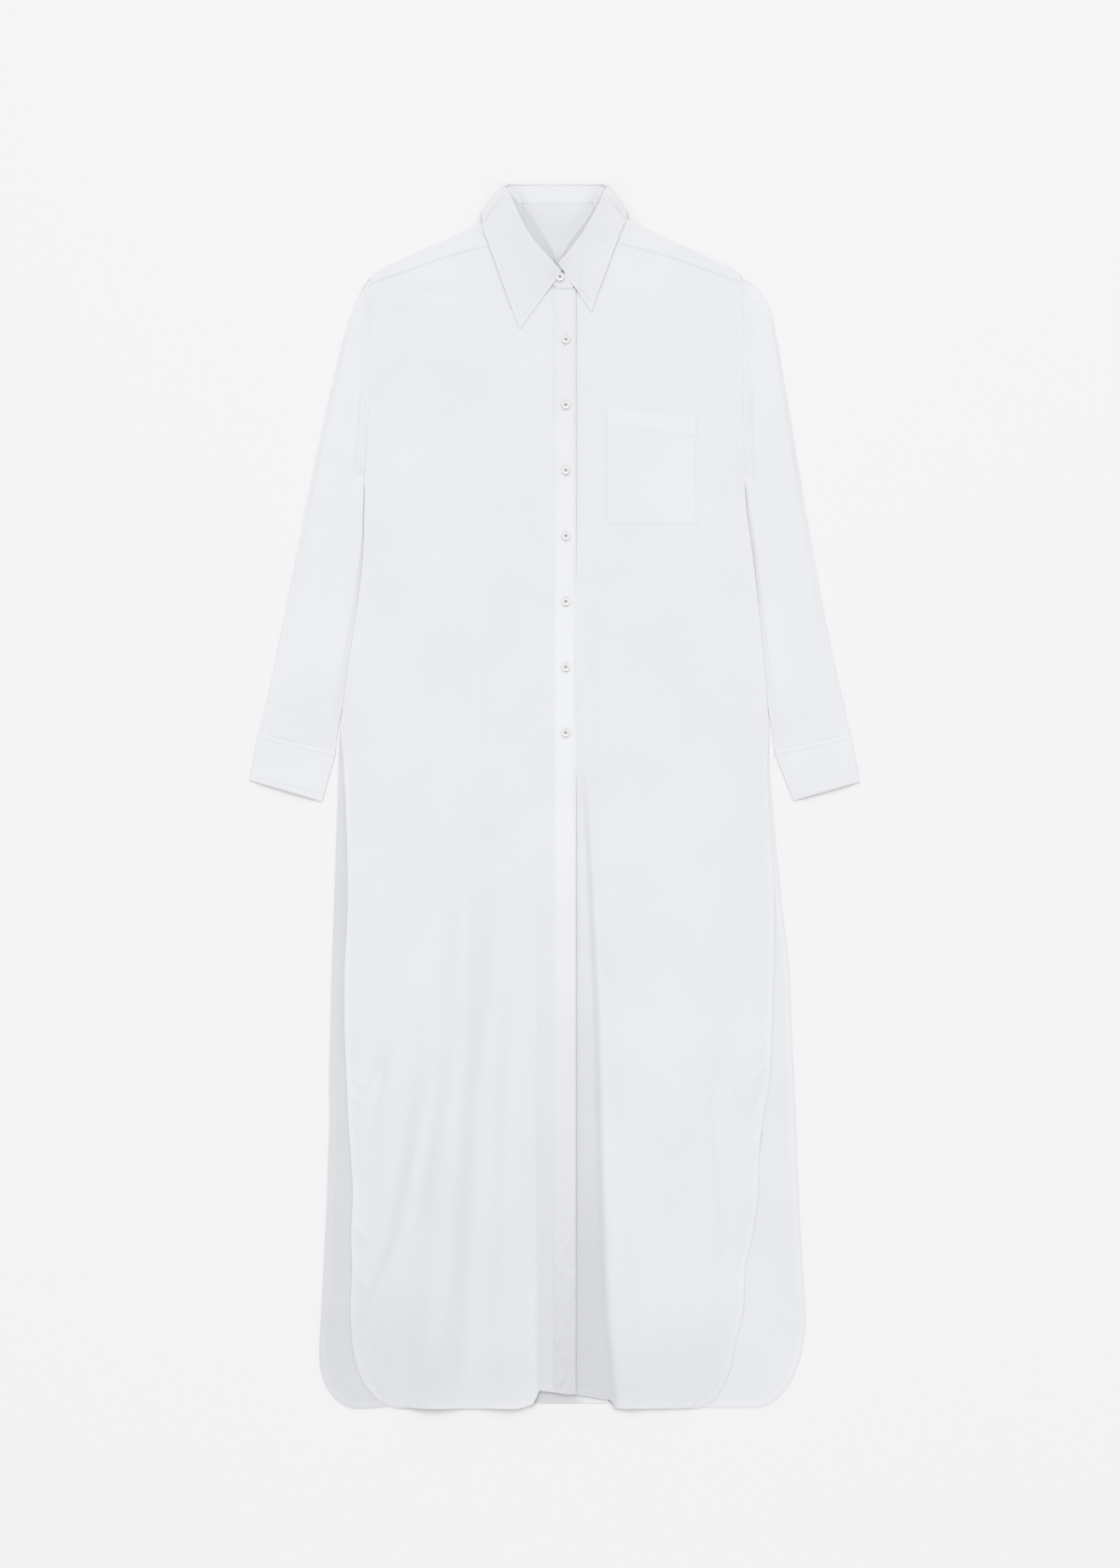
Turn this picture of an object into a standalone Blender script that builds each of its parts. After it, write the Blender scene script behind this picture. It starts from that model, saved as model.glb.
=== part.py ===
# A long cotton shirt dress laid flat, face up, sleeves down along its sides.
# Wearer's right is at -X, the neck at +Y, the hem at -Y. Sizes are in millimetres until the
# meshes are made. Every cloth piece is a wall; the pieces lie on each other from the floor up:
# collar leaf (at the nape) - back and yoke - left front - left placket - right front - right
# placket - buttons.
import math

import bpy
import numpy as np

MM = 0.001

WALL = 1.5               # cloth wall of the panels
TRIM_WALL = 1.2          # collar, plackets and pocket
CUFF_WALL = 1.6
SEAM_GAP = 0.4           # between two pieces that meet at a seam, along or across the cloth
LAYER = WALL + SEAM_GAP
OVERLAP_LIFT = LAYER + TRIM_WALL + SEAM_GAP   # left front and its placket, under the right front

HALF_LENGTH = 734.2      # collar top to hem is 1468 mm
NECK_CENTRE = 4.0        # the neck lies a little to the wearer's left of the middle
NECK_HALF = 43.5         # half of the flattened neck hole
NECK_BACK = 711.5        # back neck seam
YOKE_BACK = 590.0        # back yoke seam, straight across
UNDERARM = 373.5         # lower end of the armhole
ARMHOLE_TOP = 622.5
SLIT_TOP = 37.0          # the side seams end here, and front and back have their own edges
SEAM_FADE = 20.0

PLACKET_RIGHT_EDGE = 25.8
PLACKET_LEFT_EDGE = -1.0
POCKET_X = (61.6, 171.0)
POCKET_TOP = 467.6
POCKET_BOTTOM = 327.0
POCKET_SLOPE = -0.112    # its mouth slopes down to the outside
TILT_ROWS = (390.0, 540.0)   # the front's rows slope with it between these heights

BUTTON_WIDTH = 10.2      # 16 ligne
BUTTON_HEIGHT = 2.4
BUTTON_X = 13.6
FIRST_BUTTON = 548.2
BUTTON_PITCH = 78.6
BUTTON_COUNT = 7
BUTTON_DISH = 0.8        # depth of the dish in its face
COLLAR_BUTTON = (6.4, 621.6, 12.9)

# Side edges of the flat body by height. Above the slits front and back share one edge.
SIDE_EDGES = {
    "height":      (-655, -612, -567, -522, -478, -433, -388, -343, -276, -209, -142, -75, -7,
                    37, 82, 116, 161, 205, 250, 295, 340, 385, 430, 452, 573, 624),
    "front_right": (-243, -245, -243, -244, -242, -244.5, -247.5, -249.3, -252, -252, -248.6,
                    -248.6, -250.9, -253.1, -256.5, -253.1, -247.5, -240, -234.1, -229.6,
                    -228.5, -227.6, -224.6, -222.8, -220.6, -220.6),
    "front_left":  (217.5, 227, 228.5, 238.6, 244.2, 245.5, 250, 257.6, 261, 263.2, 264.3, 262,
                    257.6, 256, 257.6, 255.4, 252, 247.5, 243, 237.4, 231, 228, 226.4, 226,
                    226, 223.4),
    "back_right":  (-281.5, -279, -276.6, -274.4, -272.2, -271, -269.3, -269.9, -268.2, -266.6,
                    -264.3, -262.1, -259.8, -258.7, -256.5, -253.1, -247.5, -240, -234.1,
                    -229.6, -228.5, -227.6, -224.6, -222.8, -220.6, -220.6),
    "back_left":   (300.5, 300, 296.8, 294.6, 292.3, 290.1, 289, 286.7, 283.5, 281.1, 273.5,
                    266.6, 261, 257.5, 257.6, 255.4, 252, 247.5, 243, 237.4, 231, 228, 226.4,
                    226, 226, 223.4),
}

# Shirt-tail corners: the height where the round starts and how far it draws in at the hem.
CORNERS = {
    "front_right": {"start": -645, "draw": 60},
    "front_left":  {"start": -640, "draw": 50},
    "back_right":  {"start": -672, "draw": 45},
    "back_left":   {"start": -625, "draw": 60},
}

# Shoulder fold and forward yoke seam, by distance from the neck centre.
SHOULDER_FOLD = {
    "out":    (43.5, 92, 135, 165, 195, 212, 224),
    "height": (712, 689, 667.5, 654.5, 640.5, 631.5, 622.5),
}
YOKE_SEAM = {
    "out":    (25, 83, 120, 150, 188, 224),
    "height": (677, 662, 652.4, 642.8, 628.8, 616.6),
}

# Outer edge of each sleeve as it lies.
SLEEVE_OUTER = {
    "height": (76, 105, 194, 284, 373.5, 463, 508, 552.7, 597.5, 612, 622.5),
    "right":  (-354.5, -347.2, -328.2, -310.2, -292.3, -273.3, -263.2, -252, -236.3, -228.8,
               -221.6),
    "left":   (355, 348.3, 328.2, 311.4, 295.7, 281.1, 273.3, 265.4, 252, 240.5, 224),
}

# Cuff corners in plan: seam outer, seam inner, end outer, end inner.
CUFFS = {
    "right": {"seam_out": (-354.9, 75.4), "seam_in": (-262.2, 52.9),
              "end_out": (-366.2, 19.6), "end_in": (-278.9, -6.2)},
    "left":  {"seam_out": (355.4, 74.2), "seam_in": (263.4, 54.2),
              "end_out": (366.2, 17.4), "end_in": (286.7, -5.0)},
}

# The folded-down leaf of the collar lies under the back near the neck and raises it.
COLLAR_BED = {"start": 665.0, "rise": 25.0, "half_width": 110.0, "ease": 30.0}

# Air between front and back: at the seams, along the armhole, and down the middle of the body.
SEAM_AIR = 0.6
ARMHOLE_AIR = 1.2
LEAST_AIR = 0.3
SIDE_EASE = 55.0         # how far in from the side seam, and down from the shoulder,
SHOULDER_EASE = 45.0     # the cloth takes to rise
FOLD_EASE = 30.0
OVERLAP_START = -62.0    # the right front starts to rise over the left one here
OVERLAP_RUN = 58.0
LOFT = {
    "height": (-734, -600, -300, 0, 200, 450, 600, 700),
    "air":    (3.0, 4.0, 5.0, 5.0, 4.5, 3.5, 1.8, 1.0),
}

# Long folds: a ridge (or, with a height below 0, a trough) from its top to its lower end.
# bow moves its middle sideways, hem is the share of the height left at the lower end.
FOLD_SWELL = 0.35        # share of a fold's length in which it grows to its full height
FOLD_FADE = 0.6          # share at which it starts to fade towards the hem
FOLD_COLUMNS = ("x_top", "y_top", "x_low", "y_low", "bow", "width", "height", "hem")
RIGHT_FOLDS = (
    (-72, 320, -138, -734, -6, 13, 6.0, 0.9),     # long ridge beside the middle
    (-51, -230, -52, -734, 0, 20, 4.0, 1.0),      # broad ridge by the placket
    (-52, 290, -90, -734, 0, 11, -2.0, 1.0),      # trough between those two
    (-150, -120, -222, -600, 10, 22, 3.0, 0.3),   # slanting ridge to the slit edge
    (-106, -190, -228, -660, 8, 14, -3.0, 0.5),   # slanting trough under it
    (-200, -290, -232, -420, 0, 9, -2.0, 0.4),    # short trough by the slit
)
LEFT_FOLDS = (
    (39, 10, 91, -734, -3, 16, 2.5, 1.0),         # shelf ridge beside the open placket
    (118, 190, 126, -240, 0, 38, 1.5, 0.0),       # broad softness under the pocket
    (190, -270, 231, -520, -4, 12, -2.2, 0.3),    # trough to the slit edge
)
# The left front sinks beside the unbuttoned placket: the line where it rises again.
WEDGE = {
    "height": (-724, -657, -500, -254, -75, 77),
    "x":      (75, 66, 57, 50, 41.5, 33),
}
WEDGE_LOW = 0.3          # share of the air left there
WEDGE_SLOPE = 18.0
WEDGE_RUN = 150.0

# Collar: the roll line, and the outer edge of the leaf that belongs to each point of it.
# under marks a stretch that hangs down behind the neck; edge heights of None lie on the cloth.
COLLAR_COLUMNS = ("roll_x", "roll_y", "roll_z", "edge_x", "edge_y", "edge_z", "under")
RIGHT_COLLAR = (
    (8.0, 628.0, 16.2, -41.4, 560.6, None, 0),
    (1.5, 635.5, 16.8, -45.5, 571.0, None, 0),
    (-7.2, 646.5, 17.4, -50.5, 583.5, None, 0),
    (-17.0, 662.5, 18.0, -56.5, 600.0, None, 0),
    (-30.0, 684.0, 18.0, -67.5, 630.5, None, 0),
    (-43.5, 705.0, 15.6, -78.5, 661.0, None, 0),
    (-53.0, 721.0, 12.6, -85.5, 680.0, None, 0),
    (-57.2, 728.2, 11.6, -86.8, 690.0, 6.5, 0),
    (-59.0, 731.6, 11.0, -86.8, 696.6, 4.8, 0),
    (-59.8, 733.3, 10.6, -86.5, 702.0, 2.8, 0),
    (-58.8, 733.6, 10.8, -80.5, 703.0, 1.3, 0),
    (-56.0, 733.2, 11.4, -70.0, 701.0, 0.6, 0.4),
    (-49.5, 732.0, 12.6, -57.0, 700.0, 0.6, 1),
    (-34.0, 731.0, 14.0, -37.0, 700.0, 0.6, 1),
    (-16.0, 730.6, 14.6, -17.0, 700.0, 0.6, 1),
)
LEFT_COLLAR = (
    (3.4, 640.0, 14.2, 44.8, 580.7, None, 0),
    (8.0, 647.0, 14.8, 47.2, 588.5, None, 0),
    (14.5, 656.6, 15.6, 50.8, 600.5, None, 0),
    (23.0, 670.0, 16.4, 56.8, 616.5, None, 0),
    (34.5, 688.0, 17.0, 66.0, 641.0, None, 0),
    (47.5, 708.0, 15.2, 77.0, 670.5, None, 0),
    (56.8, 722.6, 12.6, 83.8, 687.0, None, 0),
    (60.8, 728.8, 11.6, 86.8, 692.4, 6.5, 0),
    (62.4, 731.8, 11.0, 86.8, 697.6, 4.8, 0),
    (63.1, 733.3, 10.6, 86.5, 702.0, 2.8, 0),
    (62.1, 733.6, 10.8, 80.5, 703.0, 1.3, 0),
    (59.3, 733.2, 11.4, 70.0, 701.0, 0.6, 0.4),
    (52.8, 732.0, 12.6, 58.0, 700.0, 0.6, 1),
    (37.3, 731.0, 14.0, 39.0, 700.0, 0.6, 1),
    (19.3, 730.6, 14.6, 20.0, 700.0, 0.6, 1),
)
NAPE = (1.6, 730.6, 14.8, 1.6, 700.0, 0.6, 1)

# Stand: its seam on the neck edge and its top edge under the roll of the leaf.
STAND_COLUMNS = ("seam_x", "seam_y", "seam_z", "top_x", "top_y", "top_z")
RIGHT_STAND = (
    (20.4, 613.5, None, 20.6, 620.5, 10.7),
    (17.5, 610.8, None, 17.8, 624.4, 11.1),
    (10.0, 610.0, None, 10.4, 627.6, 11.8),
    (0.0, 611.0, None, 4.6, 632.0, 12.9),
    (-9.5, 617.0, None, -0.5, 638.0, 15.0),
    (-16.5, 633.0, None, -8.0, 647.6, 15.6),
    (-18.0, 652.0, None, -17.4, 662.8, 16.2),
    (-21.0, 671.0, None, -29.4, 683.6, 16.2),
    (-27.0, 688.0, None, -42.6, 704.4, 13.8),
    (-34.0, 701.0, None, -52.0, 720.4, 10.9),
    (-38.0, 707.2, 9.0, -55.6, 727.4, 9.8),
    (-37.0, 709.6, 8.4, -52.0, 729.6, 10.4),
    (-30.0, 709.8, 6.4, -42.0, 729.6, 11.6),
    (-16.0, 709.8, None, -22.0, 729.4, 12.6),
)
LEFT_STAND = (
    (-4.0, 611.4, None, -4.6, 631.0, 6.5),
    (1.0, 610.8, None, -0.6, 635.5, 7.4),
    (8.0, 611.6, None, 4.0, 640.8, 9.6),
    (17.5, 618.0, None, 9.4, 648.6, 11.6),
    (24.5, 633.0, None, 15.6, 657.6, 13.4),
    (26.2, 652.0, None, 23.6, 669.8, 14.6),
    (29.2, 671.0, None, 34.2, 687.4, 15.2),
    (35.2, 688.0, None, 46.8, 707.2, 13.4),
    (42.2, 701.0, None, 55.6, 721.6, 10.9),
    (46.2, 707.2, 7.4, 59.2, 727.6, 9.8),
    (45.4, 709.6, 7.0, 56.0, 729.6, 10.4),
    (38.4, 709.8, 5.6, 46.0, 729.6, 11.6),
    (24.0, 709.8, None, 26.0, 729.4, 12.6),
)
STAND_NAPE = (4.0, 709.8, None, 2.6, 729.4, 12.8)
NAPE_SEAM = 709.0

# Rows of every front panel, by height; between the top edge and the first one lie more rows.
FRONT_ROWS = (604, 585, 560, 530, 498, 467.6, 432, 395, 360, 327, 295, 250, 205, 161, 116, 77,
              37, -7, -75, -142, -209, -276, -343, -410, -478, -545, -612, -655, -680, -700,
              -714, -724, -730, -734.2)
BACK_ROWS = (590, 500, 452, 430, 385, 340, 295, 250, 205, 161, 116, 82, 60, 37, -7, -75, -142,
             -209, -276, -343, -433, -522, -612, -655, -680, -700, -714, -724, -730, -734.2)
BACK_SHARES = (0.0, 0.03, 0.1, 0.2, 0.32, 0.44, 0.56, 0.68, 0.8, 0.9, 0.97, 1.0)

# Columns of the fronts, by x: the ones in the middle keep their place down the dress, the rest
# spread to the side edge by these shares. Top ends that aren't on the yoke seam are given.
SPREAD = (0.0, 0.1, 0.3, 0.6)
RIGHT_COLUMNS = (-171, -154, -137, -120, -103, -86, -69, -52, -35, -22, -18, PLACKET_LEFT_EDGE,
                 12.4, PLACKET_RIGHT_EDGE)
LEFT_COLUMNS = (PLACKET_LEFT_EDGE, 12.4, PLACKET_RIGHT_EDGE, 30, 40, 52, POCKET_X[0], 78, 94,
                112, 130, 150, POCKET_X[1])
RIGHT_TOPS = {-18: 650.0, PLACKET_LEFT_EDGE: 612.0, 12.4: 610.0, PLACKET_RIGHT_EDGE: 610.0}
LEFT_TOPS = {PLACKET_LEFT_EDGE: 610.0, 12.4: 613.0, PLACKET_RIGHT_EDGE: 650.0}
PLACKET_ROW = 2          # the plackets start at this row of a front, below its neck edge
PLACKET_COLUMNS = 3

# The hems are lifted a little around the placket: from start, over ease, by rise.
HEM_TOP = -640.0
HEM_LIFTS = {
    "right": {"rise": 21.2, "start": -40.0, "ease": 22.0},
    "left":  {"rise": 20.0, "start": 74.0, "ease": -12.0},
    "back":  {"rise": 4.0, "start": -60.0, "ease": 40.0},
}

TUBE_HEIGHT = 4.0        # a sleeve pressed flat
TUBE_CROWN = (0.6, 2.6)  # more air in it at the armhole, and further down
CUFF_HEIGHT = 4.4
CUFF_CROWN = (1.6, 1.2, 1.6)
SLEEVE_RINGS = 17

COTTON_WHITE = (0.831, 0.855, 0.885, 1.0)
PLACKET_WHITE = (0.871, 0.880, 0.913, 1.0)
BUTTON_CREAM = (0.730, 0.700, 0.640, 1.0)


def smooth(t):
    # 0 below 0, 1 above 1, and an even S between
    t = np.clip(t, 0.0, 1.0)
    return t * t * (3.0 - 2.0 * t)


def flow(knots, values, at):
    # a smooth curve through a table's rows (cubic, with the slopes of its neighbours)
    knots = np.asarray(knots, dtype=float)
    values = np.asarray(values, dtype=float)
    slopes = np.gradient(values, knots)
    at = np.clip(np.asarray(at, dtype=float), knots[0], knots[-1])
    row = np.clip(np.searchsorted(knots, at) - 1, 0, len(knots) - 2)
    step = knots[row + 1] - knots[row]
    t = (at - knots[row]) / step
    return ((1 + 2 * t) * (1 - t) ** 2 * values[row] + t * (1 - t) ** 2 * step * slopes[row]
            + t * t * (3 - 2 * t) * values[row + 1] + t * t * (t - 1) * step * slopes[row + 1])


def side_edge(panel, y):
    # the panel's side edge at height y, with its shirt-tail corner (a quarter ellipse)
    x = flow(SIDE_EDGES["height"], SIDE_EDGES[panel], y)
    corner = CORNERS[panel]
    drop = np.clip((corner["start"] - y) / (HALF_LENGTH + corner["start"]), 0.0, 1.0)
    drawn = corner["draw"] * (1.0 - np.sqrt(1.0 - drop ** 2))
    side = 1.0 if panel.endswith("left") else -1.0
    inset = SEAM_GAP * smooth((y - SLIT_TOP) / SEAM_FADE)
    return x - side * (drawn + inset)


def shoulder_fold(x):
    return flow(SHOULDER_FOLD["out"], SHOULDER_FOLD["height"], np.abs(x - NECK_CENTRE))


def yoke_seam(x):
    return flow(YOKE_SEAM["out"], YOKE_SEAM["height"], np.abs(x - NECK_CENTRE))


def nape_raise(x, y):
    # back and yoke lie on the folded-down leaf of the collar near the neck
    bed = COLLAR_BED
    inside = (bed["half_width"] - np.abs(x - NECK_CENTRE)) / bed["ease"]
    return LAYER * smooth((y - bed["start"]) / bed["rise"]) * smooth(inside)


def fold_height(folds, x, y):
    total = 0.0
    for fold in folds:
        f = dict(zip(FOLD_COLUMNS, fold))
        s = (f["y_top"] - y) / (f["y_top"] - f["y_low"])
        crest = f["x_top"] + (f["x_low"] - f["x_top"]) * s + f["bow"] * 4.0 * s * (1.0 - s)
        fade = smooth((s - FOLD_FADE) / (1.0 - FOLD_FADE))
        swell = smooth(s / FOLD_SWELL) * (1.0 - (1.0 - f["hem"]) * fade)
        total = total + f["height"] * swell * np.exp(-((x - crest) / f["width"]) ** 2)
    return total


def front_loft(side, x, y):
    # air under a front: nothing at the side seam, more in the middle, and the folds
    edge = side_edge("front_left" if side > 0 else "front_right", y)
    inward = np.abs(x - edge)
    below_fold = shoulder_fold(x) - y
    armhole = np.clip((y - UNDERARM) / (ARMHOLE_TOP - UNDERARM), 0.0, 1.0)
    at_edge = ARMHOLE_AIR * np.sin(math.pi * armhole)
    middle = flow(LOFT["height"], LOFT["air"], y)
    air = at_edge + (middle - at_edge) * smooth(inward / SIDE_EASE)
    air = SEAM_AIR + air * smooth(below_fold / SHOULDER_EASE)
    folds = LEFT_FOLDS if side > 0 else RIGHT_FOLDS
    air = air + fold_height(folds, x, y) * smooth(inward / FOLD_EASE)
    if side > 0:
        rise = smooth((x - flow(WEDGE["height"], WEDGE["x"], y)) / WEDGE_SLOPE + 0.5)
        open_share = smooth((WEDGE["height"][-1] - y) / WEDGE_RUN)
        air = air * (1.0 - (1.0 - WEDGE_LOW) * (1.0 - rise) * open_share)
    return np.maximum(air, LEAST_AIR)


def front_under(side, x, y):
    # height of a front's underside; the right front is lifted over the left one
    lift = OVERLAP_LIFT * smooth((x - OVERLAP_START) / OVERLAP_RUN) if side < 0 else 0.0
    return LAYER + nape_raise(x, y) + front_loft(side, x, y) + lift


def front_top(side, x, y):
    return front_under(side, x, y) + WALL


def plain_material(name, colour, roughness):
    material = bpy.data.materials.new(name)
    material.use_nodes = True
    shader = material.node_tree.nodes["Principled BSDF"]
    shader.inputs["Base Color"].default_value = colour
    shader.inputs["Roughness"].default_value = roughness
    shader.inputs["Metallic"].default_value = 0.0
    material.diffuse_color = colour
    return material


def add_object(name, points, faces, colour, roughness=0.85):
    mesh = bpy.data.meshes.new(name)
    mesh.from_pydata((np.asarray(points) * MM).tolist(), [], faces)
    mesh.validate()
    mesh.shade_smooth()
    mesh.set_sharp_from_angle(angle=math.radians(50))
    mesh.materials.append(plain_material(name, colour, roughness))
    made = bpy.data.objects.new(name, mesh)
    bpy.context.scene.collection.objects.link(made)
    return made


def grid_solid(name, lower, upper, keep, colour):
    # a wall between two grids of points; keep tells which cells of the grid are cloth
    rows, columns = lower.shape[:2]
    points = np.concatenate([lower.reshape(-1, 3), upper.reshape(-1, 3)])
    number = np.arange(rows * columns).reshape(rows, columns)
    above = rows * columns
    faces = []
    edges = {}
    for i in range(rows - 1):
        for j in range(columns - 1):
            if not keep[i, j]:
                continue
            cell = (number[i, j], number[i, j + 1], number[i + 1, j + 1], number[i + 1, j])
            faces.append([int(p) for p in cell])
            faces.append([int(p) + above for p in reversed(cell)])
            for a, b in zip(cell, cell[1:] + cell[:1]):
                edges[(int(a), int(b))] = True
    for a, b in edges:
        if (b, a) not in edges:
            faces.append([b, a, a + above, b + above])
    return closed_object(name, points, faces, colour)


def closed_object(name, points, faces, colour, roughness=0.85):
    # drop the unused points and turn the faces outwards
    points = np.asarray(points, dtype=float)
    used = sorted({p for face in faces for p in face})
    place = {p: k for k, p in enumerate(used)}
    faces = [[place[p] for p in face] for face in faces]
    points = points[used]
    volume = 0.0
    for face in faces:
        for k in range(1, len(face) - 1):
            a, b, c = points[face[0]], points[face[k]], points[face[k + 1]]
            volume += float(np.dot(a, np.cross(b, c)))
    if volume < 0:
        faces = [list(reversed(face)) for face in faces]
    return add_object(name, points, faces, colour, roughness)


def sheet_normals(middle):
    along_rows = np.gradient(middle, axis=0)
    along_columns = np.gradient(middle, axis=1)
    normal = np.cross(along_columns, along_rows)
    return normal / np.linalg.norm(normal, axis=2, keepdims=True)


def thick_sheet(name, middle, wall, keep, colour):
    # a wall of even thickness about a middle surface
    offset = sheet_normals(middle) * wall / 2.0
    return grid_solid(name, middle - offset, middle + offset, keep, colour)


def all_cells(grid):
    return np.ones((grid.shape[0] - 1, grid.shape[1] - 1), dtype=bool)


def hem_height(panel, x, y):
    lift = HEM_LIFTS[panel]
    rise = lift["rise"] * smooth((x - lift["start"]) / lift["ease"])
    return y + rise * smooth((HEM_TOP - y) / (HALF_LENGTH + HEM_TOP))


def front_grid(side):
    # plan points of a front: fixed columns in the middle, shared columns under the placket,
    # and columns that spread towards the side edge
    fixed = LEFT_COLUMNS if side > 0 else RIGHT_COLUMNS
    tops = LEFT_TOPS if side > 0 else RIGHT_TOPS
    panel = "front_left" if side > 0 else "front_right"
    outermost = fixed[-1] if side > 0 else fixed[0]

    def row_at(heights):
        edge = side_edge(panel, heights)
        spread = [edge + (outermost - edge) * share for share in SPREAD]
        middle = [np.full_like(heights, x) for x in fixed]
        return spread + middle if side < 0 else middle + spread[::-1]

    rows = []
    first = np.array([FRONT_ROWS[0]] * (len(fixed) + len(SPREAD)), dtype=float)
    first_x = np.array([column[k] for k, column in enumerate(row_at(first))])
    top = yoke_seam(first_x) - SEAM_GAP / 2.0
    for x, height in tops.items():
        top[np.isclose(first_x, x)] = height
    for share in (0.0, 0.5):
        rows.append((first_x, top + (first - top) * share))
    for height in FRONT_ROWS:
        heights = np.full(len(first), float(height))
        x = np.array([column[k] for k, column in enumerate(row_at(heights))])
        rows.append((x, heights))
    x = np.array([row[0] for row in rows])
    y = np.array([row[1] for row in rows])
    if side > 0:
        tilt = POCKET_SLOPE * np.clip(x - POCKET_X[0], 0.0, POCKET_X[1] - POCKET_X[0])
        y = y + tilt * smooth((y - TILT_ROWS[0]) / 70.0) * smooth((TILT_ROWS[1] - y) / 60.0)
    y = hem_height("left" if side > 0 else "right", x, y)
    return x, y


def layer(x, y, z):
    return np.stack([x, y, z], axis=2)


def make_back():
    heights = np.array(BACK_ROWS, dtype=float)[:, None]
    right = side_edge("back_right", heights)
    left = side_edge("back_left", heights)
    x = right + (left - right) * np.array(BACK_SHARES)[None, :]
    y = hem_height("back", x, heights + np.zeros_like(x))
    y[0] -= SEAM_GAP / 2.0
    lower = layer(x, y, np.zeros_like(x))
    return grid_solid("back", lower, lower + (0, 0, WALL), all_cells(x), COTTON_WHITE)


def make_yoke():
    # rows: over the back, round the shoulder fold, and down to the forward seam
    # columns: armhole, shoulder, neck corner, nape, neck corner, shoulder, armhole
    outs = np.array((0.0, 0.06, 0.14, 0.23, 0.33, 0.43, 0.53, 0.63, 0.73, 0.83, 0.92, 1.0))
    arm_right = float(side_edge("front_right", 620.0))
    arm_left = float(side_edge("front_left", 620.0))
    neck_right = NECK_CENTRE - NECK_HALF
    neck_left = NECK_CENTRE + NECK_HALF
    right = arm_right + (neck_right - arm_right) * outs
    nape = np.linspace(neck_right, neck_left, 5)[1:-1]
    left = neck_left + (arm_left - neck_left) * outs
    x = np.concatenate([right, nape, left])
    side = np.where(x < NECK_CENTRE, -1.0, 1.0)
    shoulder = np.abs(x - NECK_CENTRE) >= NECK_HALF - 1e-6
    under_z = nape_raise(x, np.full_like(x, 700.0)) + WALL / 2.0
    fold_y = shoulder_fold(x)
    over_z = np.where(side < 0, front_under(-1, x, fold_y), front_under(1, x, fold_y)) + WALL / 2.0
    radius = (over_z - (nape_raise(x, fold_y) + WALL / 2.0)) / 2.0
    back_y = np.where(shoulder, fold_y - radius, NECK_BACK)
    rows = []
    for share in (0.0, 0.3, 0.6, 0.8, 0.9, 1.0):
        start = YOKE_BACK + SEAM_GAP / 2.0
        y = start + (back_y - start) * share
        rows.append(np.stack([x, y, nape_raise(x, y) + WALL / 2.0], axis=1))
    bottom = rows[-1][:, 2]
    for angle in (-45.0, 0.0, 45.0, 90.0):
        turn = math.radians(angle)
        y = fold_y - radius + radius * math.cos(turn)
        z = bottom + radius * (1.0 + math.sin(turn))
        rows.append(np.stack([x, y, z], axis=1))
    out = np.abs(x - NECK_CENTRE)
    reach = np.where(side < 0, NECK_CENTRE - arm_right, arm_left - NECK_CENTRE)
    u = (out - NECK_HALF) / (reach - NECK_HALF)
    seam_out = YOKE_SEAM["out"][0] + (reach - YOKE_SEAM["out"][0]) * u
    seam_x = NECK_CENTRE + side * seam_out
    seam_y = yoke_seam(seam_x) + SEAM_GAP / 2.0
    top_y = fold_y - radius
    for share in (0.5, 1.0):
        row_x = x + (seam_x - x) * share
        row_y = top_y + (seam_y - top_y) * share
        z = np.where(side < 0, front_under(-1, row_x, row_y), front_under(1, row_x, row_y))
        rows.append(np.stack([row_x, row_y, z + WALL / 2.0], axis=1))
    middle = np.array(rows)
    keep = all_cells(middle)
    keep[5:, len(outs) - 1:len(outs) + 3] = False
    return thick_sheet("yoke", middle, WALL, keep, COTTON_WHITE)


def make_fronts():
    made = {}
    for side, name in ((-1, "front_right"), (1, "front_left")):
        x, y = front_grid(side)
        lower = layer(x, y, front_under(side, x, y))
        upper = lower + (0, 0, WALL)
        grid_solid(name, lower, upper, all_cells(x), COTTON_WHITE)
        made[side] = upper
    return made


def make_on_panel(name, panel_top, rows, columns, colour):
    # a piece that lies on a panel takes the panel's own points, moved up
    piece = panel_top[rows, columns] + (0, 0, SEAM_GAP)
    return grid_solid(name, piece, piece + (0, 0, TRIM_WALL), all_cells(piece), colour)


def make_plackets_and_pocket(tops):
    placket_rows = slice(PLACKET_ROW, None)
    make_on_panel("placket_right", tops[-1], placket_rows, slice(-PLACKET_COLUMNS, None),
                  PLACKET_WHITE)
    make_on_panel("placket_left", tops[1], placket_rows, slice(0, PLACKET_COLUMNS),
                  PLACKET_WHITE)
    pocket_rows = slice(PLACKET_ROW + FRONT_ROWS.index(POCKET_TOP),
                        PLACKET_ROW + FRONT_ROWS.index(POCKET_BOTTOM) + 1)
    pocket_columns = slice(LEFT_COLUMNS.index(POCKET_X[0]),
                           LEFT_COLUMNS.index(POCKET_X[1]) + 1)
    make_on_panel("chest_pocket", tops[1], pocket_rows, pocket_columns, COTTON_WHITE)


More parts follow.
